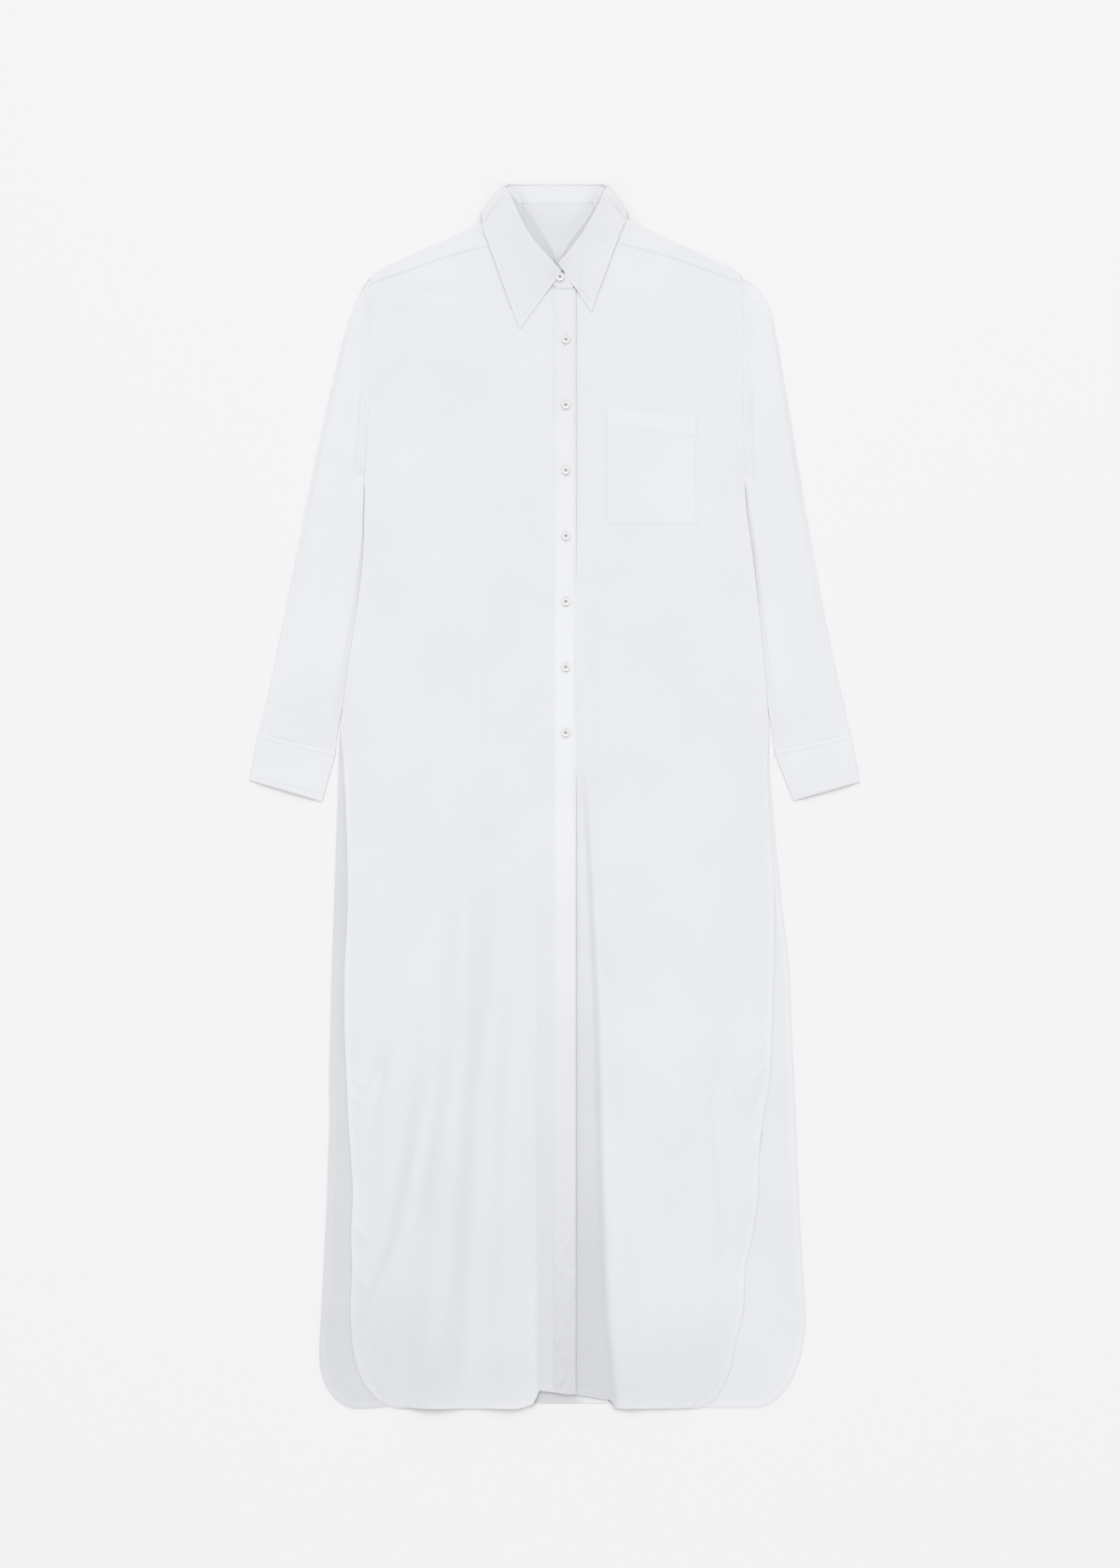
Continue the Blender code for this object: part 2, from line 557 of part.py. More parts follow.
def collar_station(row):
    # points across the leaf, from its roll to its outer edge
    c = dict(zip(COLLAR_COLUMNS, row))
    share = np.array((0.0, 0.1, 0.25, 0.42, 0.6, 0.8, 1.0))
    roll = np.array((c["roll_x"], c["roll_y"], c["roll_z"]))
    edge_z = c["edge_z"]
    if edge_z is None:
        side = -1 if c["edge_x"] < NECK_CENTRE else 1
        edge_z = float(front_top(side, c["edge_x"], c["edge_y"])) + SEAM_GAP + TRIM_WALL / 2.0
    edge = np.array((c["edge_x"], c["edge_y"], edge_z))
    plan = roll[:2] + (edge[:2] - roll[:2]) * share[:, None]
    fall = (1.0 - share) ** 1.5 * (1.0 + 1.5 * share)
    over = np.column_stack([plan, edge[2] + (roll[2] - edge[2]) * fall])
    if c["under"] == 0:
        return over
    # behind the neck the leaf drops over the roll, straight down, and in under the yoke
    outer_y = HALF_LENGTH - TRIM_WALL / 2.0
    floor_z = TRIM_WALL / 2.0
    drop = np.array(((roll[1], roll[2]), (outer_y - 0.4, roll[2] - 0.7), (outer_y, 8.0),
                     (outer_y - 0.4, 2.6), (outer_y - 4.1, floor_z), (outer_y - 18.6, floor_z),
                     (edge[1], floor_z)))
    behind = np.column_stack([plan[:, 0], drop])
    return over + (behind - over) * c["under"]


def make_collar_fall():
    rows = [collar_station(row) for row in RIGHT_COLLAR]
    rows.append(collar_station(NAPE))
    rows.extend(collar_station(row) for row in reversed(LEFT_COLLAR))
    middle = np.array(rows)
    return thick_sheet("collar_fall", middle, TRIM_WALL, all_cells(middle), COTTON_WHITE)


def stand_station(row, side):
    # the stand's seam rests on the cloth under it: the yoke's back, or a front's neck edge
    c = dict(zip(STAND_COLUMNS, row))
    seam_z = c["seam_z"]
    if seam_z is None and c["seam_y"] > NAPE_SEAM:
        seam_z = float(nape_raise(c["seam_x"], c["seam_y"])) + WALL + SEAM_GAP + TRIM_WALL / 2.0
    elif seam_z is None:
        seam_z = float(front_top(side, c["seam_x"], c["seam_y"])) + SEAM_GAP + TRIM_WALL / 2.0
    share = np.array((0.0, 0.3, 0.65, 1.0))
    seam = np.array((c["seam_x"], c["seam_y"], seam_z))
    top = np.array((c["top_x"], c["top_y"], c["top_z"]))
    return seam + (top - seam) * share[:, None]


def make_collar_stand():
    rows = [stand_station(row, -1) for row in RIGHT_STAND]
    rows.append(stand_station(STAND_NAPE, 1))
    rows.extend(stand_station(row, 1) for row in reversed(LEFT_STAND))
    middle = np.array(rows)
    return thick_sheet("collar_stand", middle, TRIM_WALL, all_cells(middle), COTTON_WHITE)


def flat_tube(name, outer_edge, inner_edge, crown, end_height, wall, bows, colour):
    # a tube pressed flat: each ring lies between a point of its outer edge and one of its
    # inner edge, flat below, rounded at both edges, a little crowned above
    radius = end_height / 2.0
    flat = np.array((0.08, 0.25, 0.42, 0.58, 0.75, 0.92))
    domed = np.array((0.94, 0.82, 0.66, 0.5, 0.34, 0.18, 0.06))
    turn = np.radians((45.0, 0.0, -45.0))
    walls = []
    for inset in (0.0, wall):
        rings = []
        bend = radius - inset
        for k in range(len(outer_edge)):
            start = np.asarray(outer_edge[k], dtype=float)
            across = np.asarray(inner_edge[k], dtype=float) - start
            width = np.linalg.norm(across)
            near = radius / width
            shares = np.concatenate([
                [near], flat, [1.0 - near],
                1.0 - (radius - bend * np.cos(turn)) / width,
                [1.0 - near], domed, [near],
                (radius - bend * np.cos(-turn)) / width])
            heights = np.concatenate([
                np.full(len(flat) + 2, inset),
                radius - bend * np.sin(turn),
                [2.0 * radius - inset],
                2.0 * radius - inset + crown[k] * np.sin(math.pi * domed) ** 0.8,
                [2.0 * radius - inset],
                radius - bend * np.sin(-turn)])
            plan = start + across * shares[:, None]
            plan[:, 0] += bows[k](plan[:, 1]) if bows else 0.0
            rings.append(np.column_stack([plan, heights]))
        walls.append(np.array(rings))
    outer, inner = walls
    rings, around = outer.shape[:2]
    points = np.concatenate([outer.reshape(-1, 3), inner.reshape(-1, 3)])
    number = np.arange(rings * around).reshape(rings, around)
    inside = rings * around
    faces = []
    for j in range(around):
        n = (j + 1) % around
        for k in range(rings - 1):
            cell = [int(number[k, j]), int(number[k, n]), int(number[k + 1, n]),
                    int(number[k + 1, j])]
            faces.append(cell)
            faces.append([p + inside for p in reversed(cell)])
        first = [int(number[0, n]), int(number[0, j])]
        last = [int(number[-1, j]), int(number[-1, n])]
        faces.append(first + [p + inside for p in reversed(first)])
        faces.append(last + [p + inside for p in reversed(last)])
    return closed_object(name, points, faces, colour)


def make_sleeve(name, side_name, side):
    # ring 0 is the armhole, the last ring the cuff seam; the rings fan out in between
    t = np.linspace(0.0, 1.0, SLEEVE_RINGS)
    cuff = CUFFS[side_name]
    panel = "front_" + side_name
    clear = SEAM_GAP * 2.0
    outer_y = ARMHOLE_TOP + (cuff["seam_out"][1] + SEAM_GAP - ARMHOLE_TOP) * t ** 1.25
    outer_x = flow(SLEEVE_OUTER["height"], SLEEVE_OUTER[side_name], outer_y)
    outer_x[0] = side_edge(panel, ARMHOLE_TOP) + side * clear
    inner_y = UNDERARM + (cuff["seam_in"][1] + SEAM_GAP - UNDERARM) * t
    beside = side_edge(panel, inner_y) + side * clear
    to_cuff = smooth((110.0 - inner_y) / 56.0)
    inner_x = beside + (cuff["seam_in"][0] - beside) * to_cuff
    crown = TUBE_CROWN[0] + (TUBE_CROWN[1] - TUBE_CROWN[0]) * smooth(t / 0.3)
    straight = (outer_x[0], ARMHOLE_TOP, inner_x[0], UNDERARM)

    def armhole_bow(fade):
        # the armhole isn't quite straight: its rings follow the body's edge, less and less
        def bow(y):
            share = (straight[1] - y) / (straight[1] - straight[3])
            line = straight[0] + (straight[2] - straight[0]) * share
            return fade * (side_edge(panel, y) + side * clear - line)
        return bow

    bows = []
    for k in range(SLEEVE_RINGS):
        fade = float((1.0 - t[k]) ** 8)
        bows.append(armhole_bow(fade if fade > 0.01 else 0.0))
    outer_edge = np.column_stack([outer_x, outer_y])
    inner_edge = np.column_stack([inner_x, inner_y])
    return flat_tube(name, outer_edge, inner_edge, crown, TUBE_HEIGHT, WALL, bows,
                     COTTON_WHITE)


def make_cuff(name, side_name):
    cuff = {corner: np.array(place) for corner, place in CUFFS[side_name].items()}
    outer_edge = [cuff["seam_out"] + (cuff["end_out"] - cuff["seam_out"]) * t
                  for t in (0.0, 0.5, 1.0)]
    inner_edge = [cuff["seam_in"] + (cuff["end_in"] - cuff["seam_in"]) * t
                  for t in (0.0, 0.5, 1.0)]
    return flat_tube(name, outer_edge, inner_edge, CUFF_CROWN, CUFF_HEIGHT, CUFF_WALL, None,
                     COTTON_WHITE)


def make_button(name, x, y, z):
    # a turned disc with a raised rim and a shallow dish
    segments = 16
    half = BUTTON_WIDTH / 2.0
    profile = ((half * 0.72, 0.0), (half, 0.9), (half * 0.9, BUTTON_HEIGHT),
               (half * 0.66, BUTTON_HEIGHT - BUTTON_DISH))
    angle = np.arange(segments) * 2.0 * math.pi / segments
    points = [(x, y, z)]
    for radius, height in profile:
        for a in angle:
            points.append((x + radius * math.cos(a), y + radius * math.sin(a), z + height))
    points.append((x, y, z + BUTTON_HEIGHT - BUTTON_DISH))
    last = len(points) - 1
    faces = []
    for k in range(segments):
        n = (k + 1) % segments
        faces.append([0, 1 + n, 1 + k])
        for ring in range(len(profile) - 1):
            base = 1 + ring * segments
            faces.append([base + k, base + n, base + segments + n, base + segments + k])
        top = 1 + (len(profile) - 1) * segments
        faces.append([top + k, top + n, last])
    return closed_object(name, points, faces, BUTTON_CREAM, 0.3)


def highest(surface, x, y, reach):
    # highest point of a piece's top within reach of (x, y)
    offsets = np.linspace(-reach, reach, 9)
    xs, ys = np.meshgrid(x + offsets, y + offsets)
    return float(np.max(surface(xs, ys)))


def make_buttons():
    def placket_top(x, y):
        return front_top(-1, x, y) + SEAM_GAP + TRIM_WALL

    for k in range(BUTTON_COUNT):
        y = FIRST_BUTTON - BUTTON_PITCH * k
        z = highest(placket_top, BUTTON_X, y, BUTTON_WIDTH / 2.0) + SEAM_GAP
        make_button("front_button_%d" % (k + 1), BUTTON_X, y, z)
    make_button("collar_button", *COLLAR_BUTTON)


def main():
    for old in list(bpy.data.objects):
        bpy.data.objects.remove(old, do_unlink=True)
    make_back()
    make_yoke()
    tops = make_fronts()
    make_plackets_and_pocket(tops)
    make_collar_fall()
    make_collar_stand()
    make_sleeve("sleeve_right", "right", -1)
    make_sleeve("sleeve_left", "left", 1)
    make_cuff("cuff_right", "right")
    make_cuff("cuff_left", "left")
    make_buttons()


main()
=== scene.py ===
import math

import bpy
import numpy as np
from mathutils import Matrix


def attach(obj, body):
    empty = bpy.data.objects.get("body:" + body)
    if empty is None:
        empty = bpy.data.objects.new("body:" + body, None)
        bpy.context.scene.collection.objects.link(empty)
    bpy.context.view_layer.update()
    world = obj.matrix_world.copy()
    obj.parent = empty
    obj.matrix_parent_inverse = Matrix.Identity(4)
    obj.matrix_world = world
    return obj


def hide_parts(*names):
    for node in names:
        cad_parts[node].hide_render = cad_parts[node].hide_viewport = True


# A long shirt dress in white cotton poplin, laid flat and face up, its sleeves down beside it.
# Wearer's right is at -X, the neck at +Y. Lengths are millimetres until a mesh is made.
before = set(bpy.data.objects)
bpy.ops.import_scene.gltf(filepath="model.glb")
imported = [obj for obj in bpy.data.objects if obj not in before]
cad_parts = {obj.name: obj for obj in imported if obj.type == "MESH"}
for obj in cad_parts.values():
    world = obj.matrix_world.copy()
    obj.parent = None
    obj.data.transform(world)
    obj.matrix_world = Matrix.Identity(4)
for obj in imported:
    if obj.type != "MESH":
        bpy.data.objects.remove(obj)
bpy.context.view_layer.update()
print("frame loaded")

metre = 0.001
tiny = 1e-9
words = {-1: "right", 1: "left"}  # the wearer's two sides
panels = {-1: "frontRight", 1: "frontLeft"}

# the cut as it lies
dress = {
    "halfLength": 734.2,
    "neckCentre": 4.0,
    "neckHalf": 43.5,
    "neckBack": 711.5,
    "yokeBack": 590.0,
    "underarm": 373.5,
    "armholeTop": 622.5,
    "slitTop": 37.0,
    "placketLeft": -1.0,
    "placketRight": 25.8,
    "placketTop": 609.8,
    "hemTop": -640.0,
}

# how the cloth lies: wall of the poplin, and what lifts a front
cloth = {
    "wall": 0.35,
    "trimWall": 0.5,
    "backTop": 0.45,
    "edgeHeight": 0.88,     # a front lies on the back at its side edge
    "bodyRise": 1.1,        # and this much higher further in
    "riseWidth": 22.0,
    "overlap": 1.5,         # right front over the left front and its band
    "overlapColumns": (-62.0, 58.0),
    "edgeDrop": 0.5,        # its edge comes down again past the band below,
    "bandStep": 2.6,        # which ends this far short of it
    "sideEase": 55.0,
    "shoulderEase": 45.0,
    "foldEase": 30.0,
}

# above the slits the back and the front share one edge
bodyRight = (-256.5, -253.1, -247.5, -240, -234.1, -229.6, -228.5, -227.6, -224.6, -222.8,
             -220.6, -220.6)
bodyLeft = (257.6, 255.4, 252, 247.5, 243, 237.4, 231, 228, 226.4, 226, 226, 223.4)
sideEdges = {
    "height": (-655, -612, -567, -522, -478, -433, -388, -343, -276, -209, -142, -75, -7,
               37, 82, 116, 161, 205, 250, 295, 340, 385, 430, 452, 573, 624),
    "frontRight": (-243, -245, -243, -244, -242, -244.5, -247.5, -249.3, -252, -252, -248.6,
                   -248.6, -250.9, -253.1) + bodyRight,
    "frontLeft": (217.5, 227, 228.5, 238.6, 244.2, 245.5, 250, 257.6, 261, 263.2, 264.3, 262,
                  257.6, 256) + bodyLeft,
    "backRight": (-281.5, -279, -276.6, -274.4, -272.2, -271, -269.3, -269.9, -268.2, -266.6,
                  -264.3, -262.1, -259.8, -258.7) + bodyRight,
    "backLeft": (300.5, 300, 296.8, 294.6, 292.3, 290.1, 289, 286.7, 283.5, 281.1, 273.5,
                 266.6, 261, 257.5) + bodyLeft,
}

# shirt-tail corners: where the round starts, and how far it draws in at the hem
corners = {
    "frontRight": (-645, 60),
    "frontLeft": (-640, 50),
    "backRight": (-672, 45),
    "backLeft": (-625, 60),
}

shoulderFold = {
    "out": (43.5, 92, 135, 165, 195, 212, 224),
    "height": (712, 689, 667.5, 654.5, 640.5, 631.5, 622.5),
}
yokeSeamLine = {
    "out": (28.5, 83, 120, 150, 188, 224),
    "height": (676.2, 662, 652.4, 642.8, 628.8, 616.6),
}
neckEdges = {
    -1: ((-24.5, -13, -7, -3, 12.4, 25.8), (676.2, 660, 647.5, 614, 610, 610)),
    1: ((-1, 3, 14, 17, 25.9, 32.5), (610, 613, 640, 651, 664.7, 676.2)),
}

# narrow double hem: its width and thickness, the sunk stitch line, puckers along it, and the
# steps of each hem line as rise, start, run
hem = {
    "band": 8.0,
    "fold": 0.22,
    "foldRun": 1.8,
    "line": 0.22,
    "lineIn": 0.8,
    "lineWidth": 0.9,
    "pucker": {"back": 0.2, "front": 0.35},
    "slitRun": -60.0,       # it begins over this length of the slit
    "slitStart": 20.0,
    -1: ((5.5, -46.0, 24.0), (15.7, -24.5, 6.0), (-4.0, -18.0, 40.0)),
    1: ((10.5, 73.0, -7.0), (6.0, 66.0, -44.0), (5.0, 26.0, -24.0)),
    "back": ((5.0, -230.0, 60.0), (1.5, -60.0, 40.0), (-5.0, 70.0, 60.0)),
}

# air under a front by height, and where it thins; pairs are a start and a run
loft = {
    "height": (-734, -600, -300, 0, 200, 450, 600, 700),
    "air": (3.0, 4.0, 5.0, 5.0, 4.5, 3.5, 1.8, 1.0),
    "seam": 0.05,
    "armhole": 1.5,
    "least": 0.2,
    "neckDip": 0.85,
    "neckReach": 22.0,
    "neckRows": (606.0, 14.0),
    "hemDrop": 0.6,         # the hem lies nearly flat
    "hemRows": (-655.0, -75.0),
    "recess": ((-734, -640, -500, -250, 0), (0.62, 0.6, 0.42, 0.2, 0.0)),  # at the placket
    "recessColumns": (-23.0, 6.0),
    "broad": 0.45,          # slow unevenness all over
    "small": 0.14,
}

# long folds: x and y of the upper end, x and y of the lower end, bow of the middle, half width,
# height (below 0 a trough), share of it left at the lower end
rightFolds = (
    (-86, 300, -120, -330, 3, 12, 1.8, 0.0),
    (-96, 20, -148, -734, 4, 26, 5.4, 1.0),
    (-43, -150, -57, -734, 0, 20, 3.4, 1.0),
    (-52, 290, -86, -734, 0, 12, -1.5, 0.4),
    (-84, -150, -106, -734, 0, 14, -1.8, 1.0),
    (-128, -120, -192, -734, 0, 15, -1.3, 1.0),
    (-106, -190, -228, -660, 8, 16, -2.6, 0.8),
    (-168, -160, -206, -640, 0, 20, 2.4, 0.5),
    (-200, -290, -232, -420, 0, 9, -2.0, 0.4),
)
leftFolds = (
    (39, 10, 91, -734, -3, 16, 2.5, 1.0),
    (30, 330, 47, -260, 0, 13, 2.0, 0.2),
    (118, 190, 126, -240, 0, 38, 1.5, 0.0),
    (212, -60, 205, -560, 0, 12, -1.6, 0.3),
    (190, -270, 240, -640, -4, 15, -3.0, 0.7),
    (140, -420, 152, -734, 0, 14, -1.4, 0.8),
)

# beside the unbuttoned placket the left front slopes down to this line and rises beyond it
wedge = {
    "height": (-724, -657, -500, -254, -75, 77),
    "x": (75, 66, 57, 50, 41.5, 33),
    "high": ((-734, -500, -250, 0), (0.34, 0.5, 0.7, 0.85)),  # share of its air at the placket
    "low": 0.12,            # and at the line
    "start": 18.0,          # column where it begins to slope
    "slope": 10.0,
    "run": 150.0,
}

# small creases: two ends, bow, half width, height
rightCreases = (
    (-6, 412, -14, -240, -2, 5.0, -0.6),
    (-14, -240, -24, -640, 0, 7.0, -1.2),
    (-190, 610, -72, 600, 3, 7.0, -0.5),
    (-213, 585, -214, 300, 2, 4.0, -0.6),
    (-205, 590, -203, 420, 1, 5.0, 0.5),
    (-201, -308, -230, -410, 2, 6.0, -1.3),
    (-176, -505, -224, -652, 3, 6.5, -2.6),
    (-196, -520, -238, -640, 2, 7.0, 1.4),
    (-246, -330, -228, -352, 0, 4.0, 1.1),
    (-247, -352, -232, -372, 0, 3.5, 1.0),
    (-245, -385, -226, -412, 0, 4.0, -1.0),
    (-243, -505, -222, -540, 1, 4.0, 1.2),
    (-244, -530, -226, -562, 0, 4.0, -1.0),
    (-243, -560, -220, -600, 1, 4.5, 1.0),
    (-150, 100, -185, -120, 6, 18.0, 0.9),
    (-246, 60, -225, -60, -3, 9.0, -0.7),
    (-175, 540, -130, 420, 5, 14.0, 0.6),
    (-60, 560, -40, 430, 3, 10.0, -0.5),
)
leftCreases = (
    (33, 590, 34, 545, 0, 2.4, 0.5),
    (60, 500, 50, 330, 2, 9.0, -0.4),
    (196, 610, 150, 560, 3, 8.0, -0.6),
    (205, 560, 206, 300, -2, 5.0, -0.5),
    (160, 60, 158, -150, 3, 9.0, -0.8),
    (255, -318, 236, -345, 0, 4.0, 1.1),
    (257, -345, 238, -376, 0, 4.0, -1.0),
    (252, -395, 232, -440, 1, 4.5, 1.1),
    (250, -425, 234, -462, 0, 4.0, -0.9),
    (118, -260, 135, -600, 4, 20.0, 0.9),
    (170, 300, 120, 180, 6, 14.0, 0.7),
    (104, -360, 112, -700, 2, 10.0, -0.8),
)
backCreases = (
    (-262, -505, -246, -560, 1, 2.6, 1.1),
    (-270, -470, -258, -520, 1, 2.4, 0.9),
    (-268, -300, -259, -360, 1, 3.0, 0.7),
    (-275, -590, -262, -640, 1, 4.0, 0.6),
    (272, -330, 281, -400, 1, 3.0, 0.7),
    (262, -520, 291, -590, 1, 4.0, 0.8),
    (256, -600, 290, -640, 1, 4.0, 0.6),
)
folds = {-1: rightFolds, 1: leftFolds}
creases = {-1: rightCreases, 1: leftCreases}
crease = {
    "foldScale": 2.2,       # all long folds together
    "grow": 0.35,           # share of a fold's length in which it comes up
    "fade": 0.6,            # and where it starts to fade
    "ends": 0.3,            # share of a small crease that fades at each end
    "deepest": 0.8,         # of the air under it
}
napeBed = {"rise": 1.6, "rows": (665.0, 25.0), "columns": (110.0, -30.0)}


def ramp(value, start, run):  # 0 before the start, 1 past the run, an even S between
    t = np.clip((value - start) / run, 0.0, 1.0)
    return t * t * (3.0 - 2.0 * t)


def bell(distance, width):  # 1 in the middle, falling away evenly on both sides
    return np.exp(-(distance / width) ** 2)


def pointsOf(x, y, z):  # one array of points from their three coordinates
    return np.stack(np.broadcast_arrays(x, y, z), axis=-1)


def flow(knots, values, at):  # cubic curve through the rows of a table
    knots = np.asarray(knots, dtype=float)
    values = np.asarray(values, dtype=float)
    slopes = np.gradient(values, knots, axis=0)
    at = np.clip(np.asarray(at, dtype=float), knots[0], knots[-1])
    row = np.clip(np.searchsorted(knots, at) - 1, 0, len(knots) - 2)
    step = knots[row + 1] - knots[row]
    t = (at - knots[row]) / step
    if values.ndim > 1:
        t = t[:, None]
        step = step[:, None]
    return ((1 + 2 * t) * (1 - t) ** 2 * values[row] + t * (1 - t) ** 2 * step * slopes[row]
            + t * t * (3 - 2 * t) * values[row + 1] + t * t * (t - 1) * step * slopes[row + 1])


def sideEdge(panel, y):  # side edge of a panel, with a quarter ellipse at its corner
    x = flow(sideEdges["height"], sideEdges[panel], y)
    start, draw = corners[panel]
    drop = np.clip((start - y) / (dress["halfLength"] + start), 0.0, 1.0)
    side = 1.0 if panel.endswith("Left") else -1.0
    return x - side * draw * (1.0 - np.sqrt(1.0 - drop ** 2))


def foldAt(x):  # the shoulder fold: a curve over the way out from the neck
    return flow(shoulderFold["out"], shoulderFold["height"], np.abs(x - dress["neckCentre"]))


def yokeSeamAt(x):  # the forward seam, likewise
    return flow(yokeSeamLine["out"], yokeSeamLine["height"], np.abs(x - dress["neckCentre"]))


def napeRaise(x, y):  # the folded-down collar leaf lies under the nape
    return napeBed["rise"] * ramp(y, *napeBed["rows"]) \
        * ramp(np.abs(x - dress["neckCentre"]), *napeBed["columns"])


def longFolds(rows, x, y):
    # sum of ridges: height times a bell across, growing over the first third of its length
    total = np.zeros(np.broadcast(x, y).shape)
    for topX, topY, lowX, lowY, bow, width, height, atHem in rows:
        s = (topY - y) / (topY - lowY)
        crest = topX + (lowX - topX) * s + bow * 4.0 * s * (1.0 - s)
        fading = (1.0 - atHem) * ramp(s, crease["fade"], 1.0 - crease["fade"])
        swell = ramp(s, 0.0, crease["grow"]) * (1.0 - fading)
        total = total + crease["foldScale"] * height * swell * bell(x - crest, width)
    return total


def creaseHeight(rows, x, y):
    # each crease: a bell across its bowed line, fading to nothing at both ends
    total = np.zeros(np.broadcast(x, y).shape)
    for x0, y0, x1, y1, bow, width, height in rows:
        length = math.hypot(x1 - x0, y1 - y0)
        along = ((x - x0) * (x1 - x0) + (y - y0) * (y1 - y0)) / length ** 2
        across = ((x - x0) * (y1 - y0) - (y - y0) * (x1 - x0)) / length
        across = across - bow * 4.0 * along * (1.0 - along)
        fade = ramp(along, 0.0, crease["ends"]) * ramp(along, 1.0, -crease["ends"])
        total = total + height * fade * bell(across, width)
    return total


def unevenness(x, y):  # products of slow sines with uneven pace, so that nothing lies dead flat
    broad = np.sin(x / 37 + 1.3 * np.sin(y / 71)) * np.sin(y / 93 + 0.9 * np.sin(x / 49))
    small = np.sin(x / 15 + y / 77 + 1.1) * np.sin(y / 41 - x / 57 + 0.4)
    return loft["broad"] * broad + loft["small"] * small


def nearLine(x, y, line):
    # distance of every point to a line of points, and how far along it the nearest spot lies;
    # worked out for a few thousand points at a time
    flat = np.column_stack([np.ravel(x), np.ravel(y)])
    step = np.diff(line, axis=0)
    real = np.hypot(step[:, 0], step[:, 1]) > tiny
    step, start = step[real], line[:-1][real]
    length = np.hypot(step[:, 0], step[:, 1])
    before = np.concatenate([[0.0], np.cumsum(length)[:-1]])
    distance, place = np.empty(len(flat)), np.empty(len(flat))
    lot = 4000
    for first in range(0, len(flat), lot):
        part = flat[first:first + lot, None, :] - start[None]
        t = np.clip((part * step).sum(axis=2) / length ** 2, 0.0, 1.0)
        gap = np.linalg.norm(part - t[:, :, None] * step, axis=2)
        best = gap.argmin(axis=1)
        rows = np.arange(len(best))
        distance[first:first + lot] = gap[rows, best]
        place[first:first + lot] = before[best] + t[rows, best] * length[best]
    return distance.reshape(np.shape(x)), place.reshape(np.shape(x))


def hemRelief(key, x, y, pucker):
    # double fold by the edge, sunk stitch line, and short slanting puckers of uneven strength
    distance, place = nearLine(x, y, hemLines[key])
    past = distance - hem["band"]
    doubled = hem["fold"] * ramp(past, hem["foldRun"] / 2, -hem["foldRun"])
    line = hem["line"] * bell(past + hem["lineIn"], hem["lineWidth"])
    strength = 0.5 + 0.5 * np.sin(place / 43.0 + 1.7 * np.sin(place / 97.0))
    wave = np.sin(place / 1.9 + 0.9 * np.sin(place / 11.0) + distance / 2.6)
    return doubled - line + pucker * strength * wave * bell(past, 0.9 * hem["band"])


def onHem(key, x, y):  # 1 on a panel's double hem, 0 elsewhere
    return (nearLine(x, y, hemLines[key])[0] < hem["band"]) & (y < dress["slitTop"])


def hemY(key, x, y):  # heights of the lowest rows, moved to the steps of the hem line
    lift = sum(rise * ramp(x, start, run) for rise, start, run in hem[key])
    return y + lift * ramp(y, dress["hemTop"], -dress["halfLength"] - dress["hemTop"])


def rowsOfPanel(top, step, cornerStart, cornerRows):
    # heights from the top down: even steps, then the steps of a quarter turn at the corner
    straight = np.linspace(top, cornerStart, int((top - cornerStart) / step) + 1)
    turn = np.linspace(0.0, math.pi / 2, cornerRows)[1:]
    return np.concatenate([straight, cornerStart - (dress["halfLength"] + cornerStart)
                           * np.sin(turn)])


def spread(count, crowd):  # 0 to 1 with its steps closer together at both ends
    t = np.linspace(0.0, 1.0, count)
    return t - crowd * np.sin(2 * math.pi * t) / (2 * math.pi)


def hemLine(panel, key, middle):
    # plan line of a free edge: down the slit, round the corner and along the hem
    heights = rowsOfPanel(dress["slitTop"], 4.0, corners[panel][0], 24)
    edge = sideEdge(panel, heights)
    across = np.linspace(edge[-1], middle, 60)[1:]
    line = np.concatenate([np.column_stack([edge, heights]),
                           np.column_stack([across, 0.0 * across - dress["halfLength"]])])
    line[:, 1] = hemY(key, line[:, 0], line[:, 1])
    return line


hemLines = {
    -1: hemLine("frontRight", -1, dress["placketRight"]),
    1: hemLine("frontLeft", 1, dress["placketLeft"]),
    "back": np.concatenate([hemLine("backRight", "back", 0.0),
                            hemLine("backLeft", "back", 0.0)[::-1]]),
}


def backTop(x, y):  # height of the back's inner face, seen beside the fronts
    relief = hemRelief("back", x, y, hem["pucker"]["back"]) \
        * ramp(y, dress["slitTop"], hem["slitRun"])
    strip = np.minimum(np.abs(x - sideEdge("backRight", y)), np.abs(x - sideEdge("backLeft", y)))
    return cloth["backTop"] + np.maximum(relief, 0.0) \
        + np.maximum(creaseHeight(backCreases, x, y), 0.0) * ramp(strip, 0.0, 6.0)


